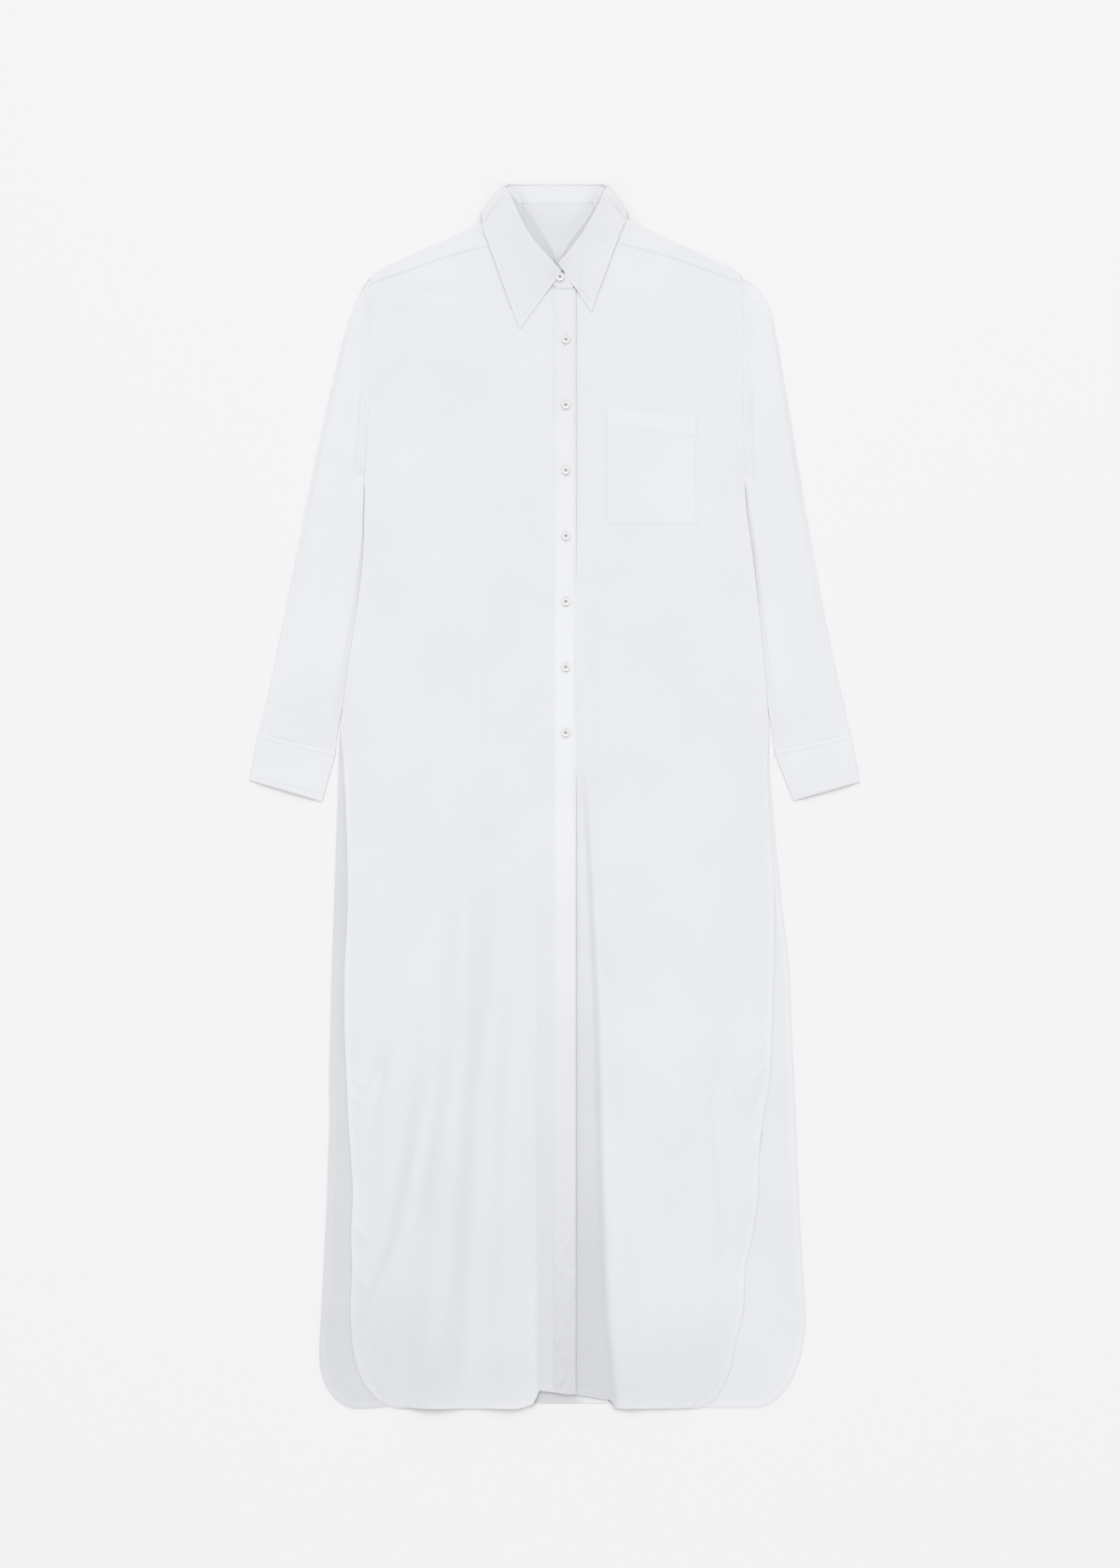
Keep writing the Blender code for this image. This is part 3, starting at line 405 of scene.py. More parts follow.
def frontLoft(side, x, y):
    # air under a front: little at the seams, more down the middle, and the folds
    inward = np.abs(x - sideEdge(panels[side], y))
    armhole = np.clip((y - dress["underarm"]) / (dress["armholeTop"] - dress["underarm"]), 0, 1)
    atEdge = loft["armhole"] * np.sin(math.pi * armhole)
    middle = flow(loft["height"], loft["air"], y)
    air = atEdge + (middle - atEdge) * ramp(inward, 0.0, cloth["sideEase"])
    air = loft["seam"] + air * ramp(foldAt(x) - y, 0.0, cloth["shoulderEase"])
    air = air + (longFolds(folds[side], x, y) + unevenness(x, y)) \
        * ramp(inward, 0.0, cloth["foldEase"])
    toNeck = nearLine(x, y, np.column_stack(neckEdges[side]))[0]
    byNeck = ramp(toNeck, loft["neckReach"], -loft["neckReach"]) * ramp(y, *loft["neckRows"])
    air = air * (1.0 - loft["neckDip"] * byNeck)
    air = air * (1.0 - loft["hemDrop"] * ramp(y, *loft["hemRows"]))
    if side < 0:
        air = air * (1.0 - flow(*loft["recess"], y) * ramp(x, *loft["recessColumns"]))
    else:
        line = flow(wedge["height"], wedge["x"], y)
        rise = ramp(x - line, -wedge["slope"] / 2, wedge["slope"])
        across = np.clip((x - wedge["start"]) / (line - wedge["start"]), 0.0, 1.0)
        high = flow(*wedge["high"], y)
        sunk = high + (wedge["low"] - high) * across
        share = ramp(y, wedge["height"][-1], -wedge["run"])
        air = air * (1.0 - (1.0 - sunk) * (1.0 - rise) * share)
    air = np.maximum(air, loft["least"])
    lift = cloth["bodyRise"] * ramp(inward, 0.0, cloth["riseWidth"])
    return air + lift + np.maximum(creaseHeight(creases[side], x, y), -crease["deepest"] * air)


def frontTop(side, x, y):  # height of a front's outer face
    lift = 0.0
    if side < 0:
        bandEnd = dress["placketRight"] - cloth["bandStep"]
        lift = cloth["overlap"] * ramp(x, *cloth["overlapColumns"]) \
            - cloth["edgeDrop"] * ramp(x, bandEnd, cloth["bandStep"])
    relief = hemRelief(side, x, y, hem["pucker"]["front"]) \
        * ramp(y, dress["slitTop"] + hem["slitStart"], hem["slitRun"])
    return cloth["edgeHeight"] + napeRaise(x, y) + frontLoft(side, x, y) + lift + relief


def linear(code):  # sRGB hex to linear
    parts = [int(code[k:k + 2], 16) / 255.0 for k in (1, 3, 5)]
    return tuple(p / 12.92 if p <= 0.04045 else ((p + 0.055) / 1.055) ** 2.4 for p in parts)


def putObject(name, data):  # at the origin, in the scene
    made = bpy.data.objects.new(name, data)
    bpy.context.scene.collection.objects.link(made)
    return made


def putMesh(name, points, faces, material, cut=(), doubled=None, sharp=None):
    # one piece in millimetres, its place on the cut at every corner, and its doubled mark, which
    # holds real doubled layers and painted shade and light
    mesh = bpy.data.meshes.new(name)
    mesh.from_pydata((points.reshape(-1, 3) * metre).tolist(), [], faces)
    if cut is not None:
        layer = mesh.uv_layers.new(name="cut")
        if len(cut):
            layer.data.foreach_set("uv", (cut.reshape(-1, 2) * metre).ravel())
    if doubled is not None:
        layersAndShade = mesh.attributes.new("doubled", "FLOAT", "POINT")
        layersAndShade.data.foreach_set("value", doubled.astype(np.float32))
    mesh.shade_smooth()
    if sharp is not None:
        mesh.set_sharp_from_angle(angle=math.radians(sharp))
    mesh.materials.append(material)
    piece = putObject(name, mesh)
    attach(piece, "root")
    return piece


def closeRound(grid):  # repeats the first column after the last one
    return np.concatenate([grid, grid[:, :1]], axis=1)


def cornersOf(grid):  # the four corners of every cell
    return np.stack([grid[:-1, :-1], grid[1:, :-1], grid[1:, 1:], grid[:-1, 1:]], axis=2)


def planUv(points, turn=0.0):  # the cut seen from above, turned to the piece's own grain
    c, s = math.cos(turn), math.sin(turn)
    x, y = points[..., 0], points[..., 1]
    return np.stack([c * x + s * y, -s * x + c * y], axis=-1)


def clothPiece(name, node, outer, wall, material, uv=None, uvTurn=0.0,
               keep=None, around=False, level=False, doubled=0.0):
    # outer face: the grid of points; inner face: one wall behind it, against the cross product
    # of the ways down the rows and along the columns, or straight below it where the cloth lies
    # level; a rim joins the two all round
    if around:
        along = np.roll(outer, -1, axis=1) - np.roll(outer, 1, axis=1)
    else:
        along = np.gradient(outer, axis=1)
    normal = np.cross(np.gradient(outer, axis=0), along)
    normal = normal / np.maximum(np.linalg.norm(normal, axis=2, keepdims=True), tiny)
    if level:
        normal = np.sign(normal[..., 2:]) * np.array((0.0, 0.0, 1.0))
    total = outer.shape[0] * outer.shape[1]
    number, grid = np.arange(total).reshape(outer.shape[:2]), outer
    if around:
        number, grid = closeRound(number), closeRound(grid)
    cells, cellUv = cornersOf(number), cornersOf(planUv(grid, uvTurn) if uv is None else uv)
    if keep is not None:
        cells, cellUv = cells[keep], cellUv[keep]
    cells, cellUv = cells.reshape(-1, 4), cellUv.reshape(-1, 4, 2)
    start, end = cells.ravel(), np.roll(cells, -1, axis=1).ravel()
    rim = ~np.isin(start * total + end, end * total + start)
    startUv, endUv = cellUv.reshape(-1, 2)[rim], np.roll(cellUv, -1, axis=1).reshape(-1, 2)[rim]
    start, end = start[rim], end[rim]
    faces = np.concatenate([cells, cells[:, ::-1] + total,
                            np.stack([end, start, start + total, end + total], axis=1)])
    faceUv = np.concatenate([cellUv, cellUv[:, ::-1],
                             np.stack([endUv, startUv, startUv, endUv], axis=1)])
    points = np.concatenate([outer, outer - normal * wall]).reshape(-1, 3)
    used, faces = np.unique(faces, return_inverse=True)
    doubled = np.tile(np.broadcast_to(doubled, outer.shape[:2]).ravel(), 2)
    piece = putMesh(name, points[used], faces.reshape(-1, 4).tolist(), material,
                    faceUv, doubled[used], sharp=60)
    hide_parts(node)

    # the area of the cloth in each of its cells
    one = np.cross(grid[1:, 1:] - grid[:-1, :-1], grid[1:, :-1] - grid[:-1, 1:])
    area = np.linalg.norm(one, axis=2) / 2.0
    if keep is not None:
        area = area[keep]


def addNode(tree, kind, settings=None, links=None):
    # one node: settings are its properties or the values of its sockets, links go to its inputs
    made = tree.nodes.new(kind)
    for key, value in (settings or {}).items():
        if isinstance(key, str) and hasattr(made, key):
            setattr(made, key, value)
        else:
            made.inputs[key].default_value = value
    for key, source in (links or {}).items():
        tree.links.new(source, made.inputs[key])
    return made


def newMaterial(name, sockets):  # with what is the same all over it set on its shader
    material = bpy.data.materials.new(name)
    material.use_nodes = True
    shader = material.node_tree.nodes["Principled BSDF"]
    for socket, value in sockets.items():
        shader.inputs[socket].default_value = value
    return material, material.node_tree, shader


def clothMaterial(name, singleAndShade, doubledAndLight, weave=0.5, roughness=0.86):
    # plain-woven cotton: thin where it is single, whiter where it is doubled, and that mark also
    # carries painted shade and light; the threads cross every quarter millimetre and are drawn at
    # twice that, as coarse as they can show, with slubs a little over a thread wide and 17 mm
    # long, faint clouds and a soft rumple
    material, tree, shader = newMaterial(name, {
        "Roughness": roughness, "Specular IOR Level": 0.25, "Sheen Weight": 0.06,
        "Sheen Roughness": 0.5})
    cut = addNode(tree, "ShaderNodeUVMap", {"uv_map": "cut"}).outputs["UV"]
    place = addNode(tree, "ShaderNodeTexCoord").outputs["Object"]
    # the doubled mark mixes the single and doubled colours; it holds real layers and also painted
    # shade and light
    layersAndShade = addNode(tree, "ShaderNodeAttribute", {"attribute_name": "doubled"})
    tone = addNode(tree, "ShaderNodeMix", {"data_type": "RGBA", 6: (*linear(singleAndShade), 1.0),
                                           7: (*linear(doubledAndLight), 1.0)},
                   {0: layersAndShade.outputs["Fac"]})
    clouds = addNode(tree, "ShaderNodeTexNoise", {"Scale": 9.0, "Detail": 3.0},
                     {"Vector": place})
    slubs = addNode(tree, "ShaderNodeMapping", {"Scale": (1600.0, 60.0, 1.0)}, {"Vector": cut})
    slubs = addNode(tree, "ShaderNodeTexNoise", {"Scale": 1.0, "Detail": 2.0},
                    {"Vector": slubs.outputs["Vector"]})
    shades = [addNode(tree, "ShaderNodeMapRange", {"From Min": 0.3, "From Max": 0.7,
                                                   "To Min": 1.0 - most, "To Max": 1.0 + most},
                      {"Value": noise.outputs["Fac"]}).outputs["Result"]
              for noise, most in ((clouds, 0.015), (slubs, 0.008))]
    both = addNode(tree, "ShaderNodeMath", {"operation": "MULTIPLY"}, {0: shades[0], 1: shades[1]})
    coloured = addNode(tree, "ShaderNodeVectorMath", {"operation": "SCALE"},
                       {0: tone.outputs[2], 3: both.outputs["Value"]})
    tree.links.new(coloured.outputs["Vector"], shader.inputs["Base Color"])
    pitch = 2 * math.pi / 20.0 / (weave * metre)
    warp, weft = (addNode(tree, "ShaderNodeTexWave", {"bands_direction": way, "Scale": scale},
                          {"Vector": cut}).outputs["Fac"]
                  for way, scale in (("X", pitch), ("Y", pitch * 0.9)))
    threads = addNode(tree, "ShaderNodeMath", {"operation": "MULTIPLY"}, {0: warp, 1: weft})
    weaveBump = addNode(tree, "ShaderNodeBump", {"Strength": 0.25, "Distance": 0.00008},
                        {"Height": threads.outputs["Value"]})
    rumple = addNode(tree, "ShaderNodeTexNoise", {"Scale": 26.0, "Detail": 3.0,
                                                  "Roughness": 0.5, "Distortion": 0.6},
                     {"Vector": place})
    rumpleBump = addNode(tree, "ShaderNodeBump", {"Strength": 0.5, "Distance": 0.0007},
                         {"Height": rumple.outputs["Fac"], "Normal": weaveBump.outputs["Normal"]})
    tree.links.new(rumpleBump.outputs["Normal"], shader.inputs["Normal"])
    return material


poplin = clothMaterial("white cotton poplin", "#cbccd0", "#e4e5e8")
placketPoplin = clothMaterial("fused cotton poplin", "#cbccce", "#e8e9ed")
thread = clothMaterial("white sewing thread", "#dfe1e4", "#dfe1e4", weave=0.8, roughness=0.6)
buttonThread = clothMaterial("taupe sewing thread", "#7d7067", "#7d7067", weave=0.8,
                             roughness=0.6)


back = {
    "rows": (6.0, -625.0, 44),      # step, height and rows of the corner
    "columns": (96, 0.75),
    "tone": 0.14,
    "toneLeft": 0.52,               # painted light: how much whiter its left half is than its right half in painted shade
    "toneColumns": (-40.0, 80.0),
    "toneHem": 0.1,
    "shade": 0.7,                   # painted shade below the short hem beside the placket
    "shadeIn": (-26.0, 8.0),
    "shadeOut": (40.0, -20.0),
    "shadeRows": (-700.0, -8.0),
}


def makeBack():
    # columns run across from side edge to side edge, rows from the yoke down to the hem line
    heights = rowsOfPanel(dress["yokeBack"], *back["rows"])
    right, left = (sideEdge(edge, heights)[:, None] for edge in ("backRight", "backLeft"))
    x = right + (left - right) * spread(*back["columns"])
    y = hemY("back", x, heights[:, None] + 0.0 * x)
    # tone: painted light on its left half and painted shade below the short hem by the placket,
    # with its doubled hem whiter
    tone = back["tone"] + back["toneLeft"] * ramp(x, *back["toneColumns"]) \
        + back["toneHem"] * onHem("back", x, y)
    shaded = ramp(x, *back["shadeIn"]) * ramp(x, *back["shadeOut"]) * ramp(y, *back["shadeRows"])
    grid = pointsOf(x, y, backTop(x, y))
    clothPiece("back_panel", "back", grid, cloth["wall"], poplin,
               level=True, doubled=np.maximum(tone - back["shade"] * shaded, 0.0))


# tones: a front's own tone and its doubled hem, less painted shade in the places below; pairs are a
# start and a run
front = {
    "flat": {-1: (282, 1420), 1: (268, 1420)},
    "top": 600.0,
    "step": 3.9,
    "cornerRows": 30,
    "columns": (72, 0.45),
    "upperRows": 17,
    "tone": 0.7,
    "toneHem": 0.06,
    # painted shade, deeper towards the hem and towards the right side
    "lowerShade": 0.18,
    "lowerShadeRows": (-200.0, -500.0),
    "lowerShadeColumns": (60.0, -160.0),
    # painted shade in the lower corner of the right front
    "corner": 0.15,
    "cornerFrom": (-540.0, -130.0),
    "cornerColumns": (-120.0, -60.0),
    # painted shade that deepens down the front, used beside the placket and in the wedge
    "shadeDownRows": (100.0, -800.0),
    "shadeDownPower": 1.4,
    "strip": 0.36,                  # painted shade on the right front beside the open placket
    "stripColumns": (-23.0, 5.0),
    "wedge": (0.75, 0.3),           # painted shade on the left front inside its wedge, and less of it low down
    "wedgeWidth": 8.0,
    # painted shade on the left front low down, outside its wedge
    "low": 0.16,
    "lowRows": (-580.0, -110.0),
}


def frontGrid(side):
    # columns from the side edge to the placket edge, rows from the yoke seam down to the hem
    middle = dress["placketLeft"] if side > 0 else dress["placketRight"]
    heights = rowsOfPanel(front["top"], front["step"], corners[panels[side]][0],
                          front["cornerRows"])
    edge = sideEdge(panels[side], heights)[:, None]
    x = edge + (middle - edge) * spread(*front["columns"])
    y = heights[:, None] + 0.0 * x
    neckX, neckY = neckEdges[side]
    inNeck = x[0] < neckX[-1] if side > 0 else x[0] > neckX[0]
    top = np.where(inNeck, np.interp(x[0], neckX, neckY), yokeSeamAt(x[0]) + yoke["under"])
    upper = np.linspace(0.0, 1.0, front["upperRows"])[:-1, None]
    topY = top + (heights[0] - top) * upper
    x = np.concatenate([x[0] + 0.0 * topY, x])
    y = hemY(side, x, np.concatenate([topY, y]))
    return (x[:, ::-1], y[:, ::-1]) if side > 0 else (x, y)


def makeFront(side):
    # its grid lifted to its top; tone is the panel's own, less painted shade, a product of ramps
    # for each place
    x, y = frontGrid(side)
    grid = pointsOf(x, y, frontTop(side, x, y))
    lowerShade = ramp(y, *front["lowerShadeRows"]) * ramp(x, *front["lowerShadeColumns"])
    corner = ramp(y, *front["cornerFrom"]) * ramp(x, *front["cornerColumns"])
    shadeDown = ramp(y, *front["shadeDownRows"]) ** front["shadeDownPower"]
    tone = front["tone"] + front["toneHem"] * onHem(side, x, y) - front["lowerShade"] * lowerShade \
        - front["corner"] * corner
    if side > 0:
        line = flow(wedge["height"], wedge["x"], y)
        inside = 1.0 - ramp(x - line, -front["wedgeWidth"] / 2, front["wedgeWidth"])
        tone = tone - (front["wedge"][0] * shadeDown - front["wedge"][1] * lowerShade) * inside
        tone = tone - front["low"] * ramp(y, *front["lowRows"]) * (1.0 - inside)
    else:
        tone = tone - front["strip"] * shadeDown * ramp(x, *front["stripColumns"])
    clothPiece("front_%s_panel" % words[side], "front_" + words[side], grid, cloth["wall"],
               poplin, level=True,
               doubled=np.clip(tone, 0.0, 1.0))


placket = {
    "stitchIn": 3.2,        # stitch lines from its edges
    "thick": 0.5,
    "edge": 0.45,           # roundness of its edges
    "over": 0.12,
    "groove": 0.16,
    "crumple": 1.5,         # its lower end isn't pressed as flat
    "crumpleRows": (-360.0, -300.0),
    "pucker": 0.1,
    "rows": (3.6, -650.0, 26),
    "columns": (24, 0.6),
    # painted shade and light along the band: its tone by height, darkest at the hem
    "shade": ((-734, -690, -634, -522, -388, -254, -119, 15, 170, 400, 508, 610),
              (0.12, 0.13, 0.18, 0.37, 0.5, 0.64, 0.74, 0.81, 0.8, 0.7, 0.6, 0.6)),
}


def placketTop(side, x, y):
    # the band on its front: soft edges, sunk stitch lines with puckers between them, and short
    # uneven crumples, a product of sines that bend each other, at its lower end
    edge = np.minimum(x - dress["placketLeft"], dress["placketRight"] - x)
    band = placket["thick"] * (1.0 - np.exp(-np.maximum(edge, 0.0) / placket["edge"]))
    groove = placket["groove"] * bell(edge - placket["stitchIn"], 0.8)
    wave = np.sin(y / 2.4 + 0.8 * np.sin(y / 13.0)) * (0.5 + 0.5 * np.sin(y / 39.0 + x / 9.0))
    rough = np.sin(x / 3.1 + 1.7 * np.sin(y / 9.0)) * np.sin(y / 7.0 + 1.1 * np.sin(x / 5.0))
    rough = placket["crumple"] * rough * ramp(y, *placket["crumpleRows"]) * ramp(edge, 0.0, 4.0)
    return frontTop(side, x, y) + placket["over"] + band - groove \
        + placket["pucker"] * wave * bell(edge - 3.0, 3.0) + np.maximum(rough, -0.1)


def makePlacket(side):
    # even columns between its two edges; below the right band the left one ends a step short
    low = dress["placketLeft"]
    high = dress["placketRight"] - (cloth["bandStep"] if side > 0 else 0.0)
    heights = rowsOfPanel(dress["placketTop"], *placket["rows"])[:, None]
    x = low + (high - low) * spread(*placket["columns"]) + 0.0 * heights
    y = hemY(side, x, heights + 0.0 * x)
    grid = pointsOf(x, y, placketTop(side, x, y))
    # its tone is painted shade by height, from the band's shade table
    clothPiece("placket_%s_band" % words[side], "placket_" + words[side], grid,
               cloth["trimWall"], placketPoplin,
               level=True,
               doubled=flow(*placket["shade"], y))


pocket = {
    "x": (61.6, 171.0),
    "top": 467.6,
    "bottom": 327.0,
    "slope": -0.112,        # its mouth slopes down to the outside
    "mouthHem": 24.0,
    "hemThick": 0.25,
    "wall": 0.2,
    "over": 0.05,
    "columns": (40, 0.5),
    "rows": (52, 0.4),
    "tone": (0.74, 0.78),   # patch and mouth hem
    "stitchIn": 1.5,
}


def pocketMouth(x):  # a straight line that falls to the outside
    return pocket["top"] + pocket["slope"] * (x - pocket["x"][0])


def pocketTop(x, y):  # the patch on its front, thicker at the mouth hem, which has a sunk line
    past = pocketMouth(x) - y - pocket["mouthHem"]
    return frontTop(1, x, y) + pocket["over"] + pocket["wall"] \
        + pocket["hemThick"] * ramp(past, 1.0, -2.0) - 0.15 * bell(past + 1.2, 0.8)


def makePocket():
    # rows are shares of the way from the sloping mouth to the level bottom
    low, high = pocket["x"]
    x = low + (high - low) * spread(*pocket["columns"])
    mouth = pocketMouth(x)
    y = mouth + (pocket["bottom"] - mouth) * spread(*pocket["rows"])[:, None]
    x = x + 0.0 * y
    grid = pointsOf(x, y, pocketTop(x, y))
    tone = np.where(mouth - y < pocket["mouthHem"], pocket["tone"][1], pocket["tone"][0])
    clothPiece("chest_pocket_patch", "chest_pocket", grid, pocket["wall"], poplin,
               level=True, doubled=tone)


yoke = {
    "wall": 0.35,
    "bottom": 0.1,
    "seamStep": 0.45,       # its front edge stands this much over the front panels
    "over": 1.0,            # and laps over them this far
    "under": 2.5,
    "napeLift": 3.2,        # the collar stand props the nape up
    "napeRows": (650.0, 60.0),
    "napeEase": 14.0,
    "armRow": 620.0,        # it is as wide as the fronts are here
    "backGap": 0.3,
    "neckHalf": ((646.8, 658, 665, 677, 694, 705, 714), (1.7, 9, 13.5, 20.5, 33, 44, 47)),
    "bulge": 7.0,           # its neck edge bows outwards, clear of the stand
    "bulgeWidth": 22.0,
    "tone": 0.74,
    "backTone": 0.54,
}


def napeInside(x, y):  # rise of the yoke towards the nape, between the sides of the collar
    across = flow(*yoke["neckHalf"], y) - np.abs(x - dress["neckCentre"])
    return yoke["napeLift"] * ramp(y, *yoke["napeRows"]) * ramp(across, 0.0, yoke["napeEase"])


def makeYoke():
    # rows go over the back, round the shoulder fold and down to the forward seam; columns go
    # from armhole to armhole; the ring at the fold is a half circle from back to front
    armRight, armLeft = (float(sideEdge(panels[side], yoke["armRow"])) for side in (-1, 1))
    centre, half = dress["neckCentre"], dress["neckHalf"]
    arm = 1.0 - spread(44, 0.3)[::-1]
    right = armRight + (centre - half - armRight) * arm
    nape = np.linspace(centre - half, centre + half, 22)[1:-1]
    left = centre + half + (armLeft - centre - half) * arm
    x = np.concatenate([right, nape, left])
    out = np.abs(x - centre)
    side = np.where(x < centre, -1.0, 1.0)
    shoulder = out >= half - 1e-6
    foldY = foldAt(x)

    def onFront(atX, atY):
        return np.where(side < 0, frontTop(-1, atX, atY), frontTop(1, atX, atY)) \
            + yoke["seamStep"]

    bottom = napeRaise(x, foldY) + yoke["bottom"]
    radius = (onFront(x, foldY) - bottom) / 2.0
    topY = foldY - radius
    backY = np.where(shoulder, topY, dress["neckBack"])
    backLow = dress["yokeBack"] + yoke["backGap"]
    rows = []
    for share in np.linspace(0.0, 1.0, 22):
        y = backLow + (backY - backLow) * share
        rows.append(pointsOf(x, y, yoke["bottom"] + napeRaise(x, y) + napeInside(x, y)))
    backRows = len(rows)
    for angle in np.radians(np.linspace(-67.5, 90.0, 8)):
        rows.append(pointsOf(x, topY + radius * math.cos(angle),
                             bottom + radius * (1.0 + math.sin(angle))))
    reach = np.where(side < 0, centre - armRight, armLeft - centre)
    seamStart = yokeSeamLine["out"][0]
    seamX = centre + side * (seamStart + (reach - seamStart) * (out - half) / (reach - half))
    seamY = yokeSeamAt(seamX) - yoke["over"]
    bulge = side * yoke["bulge"] * shoulder * np.clip(1.0 - (out - half) / yoke["bulgeWidth"], 0, 1)
    for share in np.linspace(0.0, 1.0, 17)[1:]:
        rowX = x + (seamX - x) * share + bulge * ramp(share, 0.0, 0.25) * ramp(share, 1.0, -0.5)
        rowY = topY + (seamY - topY) * share
        rows.append(pointsOf(rowX, rowY, onFront(rowX, rowY)))
    grid = np.array(rows)
    keep = np.ones((len(grid) - 1, len(x) - 1), dtype=bool)
    keep[backRows - 1:, len(right) - 1:len(right) + len(nape)] = False
    run = np.concatenate([[0.0], np.cumsum(np.linalg.norm(np.diff(grid[:, 20], axis=0), axis=1))])
    uv = np.stack([grid[..., 0], run[:, None] + 0.0 * grid[..., 0]], axis=-1)
    tone = np.where(np.arange(len(grid)) < backRows, yoke["backTone"], yoke["tone"])[:, None]
    clothPiece("yoke_panel", "yoke", grid, yoke["wall"], poplin, uv,
               keep=keep, doubled=tone)


# roll of the leaf, its outer edge (None lies on the cloth) and whether it hangs behind the neck
rightCollar = (
    (8.0, 628.0, 10.8, -41.4, 560.6, None, 0),
    (0.5, 638.8, 11.8, -45.5, 571.0, None, 0),
    (-9.5, 649.8, 12.8, -50.5, 583.5, None, 0),
    (-20.8, 662.0, 13.6, -56.5, 600.0, None, 0),
    (-34.8, 683.0, 13.6, -67.5, 630.5, None, 0),
    (-45.4, 705.0, 12.6, -78.5, 661.0, None, 0),
    (-52.8, 721.0, 11.4, -85.5, 680.0, None, 0),
    (-57.0, 728.2, 10.8, -86.8, 690.0, 6.5, 0),
    (-58.8, 731.2, 10.5, -86.8, 696.6, 4.8, 0),
    (-59.4, 732.6, 10.4, -86.5, 702.0, 2.8, 0),
    (-58.4, 733.0, 10.2, -80.5, 703.0, 1.3, 0),
    (-56.0, 732.8, 10.2, -70.0, 701.0, 0.6, 0.4),
    (-49.5, 732.2, 10.2, -57.0, 700.0, 0.6, 1),
    (-34.0, 731.8, 10.2, -37.0, 700.0, 0.6, 1),
    (-16.0, 731.6, 10.2, -17.0, 700.0, 0.6, 1),
)
leftCollar = (
    (4.0, 639.6, 9.2, 44.8, 580.7, None, 0),
    (11.0, 647.2, 10.6, 47.2, 588.5, None, 0),
    (19.4, 656.8, 12.0, 50.8, 600.5, None, 0),
    (29.4, 669.6, 12.8, 56.8, 616.5, None, 0),
    (40.6, 687.6, 13.0, 66.0, 641.0, None, 0),
    (51.6, 708.0, 12.4, 77.0, 670.5, None, 0),
    (58.0, 722.6, 11.4, 83.8, 687.0, None, 0),
    (60.8, 728.4, 10.8, 86.8, 692.4, 6.5, 0),
    (62.4, 731.4, 10.5, 86.8, 697.6, 4.8, 0),
    (63.0, 732.6, 10.4, 86.5, 702.0, 2.8, 0),
    (62.0, 733.0, 10.2, 80.5, 703.0, 1.3, 0),
    (59.3, 732.8, 10.2, 70.0, 701.0, 0.6, 0.4),
    (52.8, 732.2, 10.2, 58.0, 700.0, 0.6, 1),
    (37.3, 731.8, 10.2, 39.0, 700.0, 0.6, 1),
    (19.3, 731.6, 10.2, 20.0, 700.0, 0.6, 1),
)
napeOfCollar = ((1.6, 731.6, 10.2, 1.6, 700.0, 0.6, 1),)

# seam of the stand on the neck edge, and its top edge under the roll
rightStand = (
    (24.4, 612.4, 24.4, 617.0, 6.1),
    (21.5, 609.4, 21.6, 620.5, 6.2),
    (16.5, 608.8, 17.0, 624.0, 6.4),
    (10.0, 608.6, 10.4, 627.5, 6.9),
    (3.0, 609.6, 4.0, 632.0, 7.7),
    (-3.0, 615.0, -1.5, 639.5, 8.8),
    (-5.0, 626.0, -7.0, 646.0, 9.4),
    (-2.0, 638.0, -12.0, 651.3, 10.0),
    (0.8, 647.5, -18.5, 658.3, 10.4),
    (-4.6, 660.0, -26.0, 667.8, 10.6),
    (-15.7, 678.0, -36.2, 683.3, 10.4),
    (-27.0, 695.5, -46.4, 704.6, 9.4),
    (-36.0, 706.0, -53.8, 720.5, 8.4),
    (-40.5, 710.8, -58.0, 729.4, 8.2),
    (-38.0, 711.4, -56.6, 732.3, 8.5),
    (-32.0, 711.4, -46.0, 732.0, 9.8),
    (-16.0, 711.4, -22.0, 731.9, 9.9),
)
leftStand = (
    (-4.0, 611.4, -4.6, 629.0, 4.6),
    (1.0, 610.8, -0.6, 634.0, 5.2),
    (6.0, 613.0, 5.0, 640.0, 6.4),
    (8.0, 625.0, 12.0, 647.0, 7.6),
    (7.5, 640.0, 17.0, 653.0, 8.6),
    (11.0, 652.5, 23.6, 660.3, 9.4),
    (17.9, 664.7, 31.0, 670.5, 9.8),
    (26.9, 676.5, 41.8, 687.9, 10.0),
    (38.0, 690.0, 52.6, 707.9, 9.4),
    (45.0, 702.0, 59.0, 722.0, 8.4),
    (48.5, 710.8, 61.8, 729.4, 8.2),
    (46.0, 711.4, 60.0, 732.3, 8.5),
    (40.0, 711.4, 50.0, 732.0, 9.8),
    (24.0, 711.4, 28.0, 731.9, 9.9),
)
napeOfStand = ((4.0, 711.4, 2.6, 731.9, 9.9),)
collar = {
    "wall": 0.8,
    "roll": 1.5,            # radius of its rolled edge
    "edgeLift": 0.8,        # its outer edges stand a little off the cloth, not the tips
    "clear": 0.25,
    "fall": 1.9,
    "tipFall": 3.5,         # added to the fall at the tips, which lie flatter
    "rows": 170,
    "columns": (30, 0.25),
    "standTop": 2.6,        # the leaf's lift over the stand's front, and where the stand ends
    "standLow": 0.6,
    "standRows": (604.0, 5.0),
    "standColumns": (30.0, -7.0),
    "overYoke": 2.0,        # its step up to the yoke
    "behindY": 0.6,         # how far inside the part's end it drops behind the neck
    "tone": 0.58,
    "restsOn": ["yoke", "front_right", "front_left"],
}
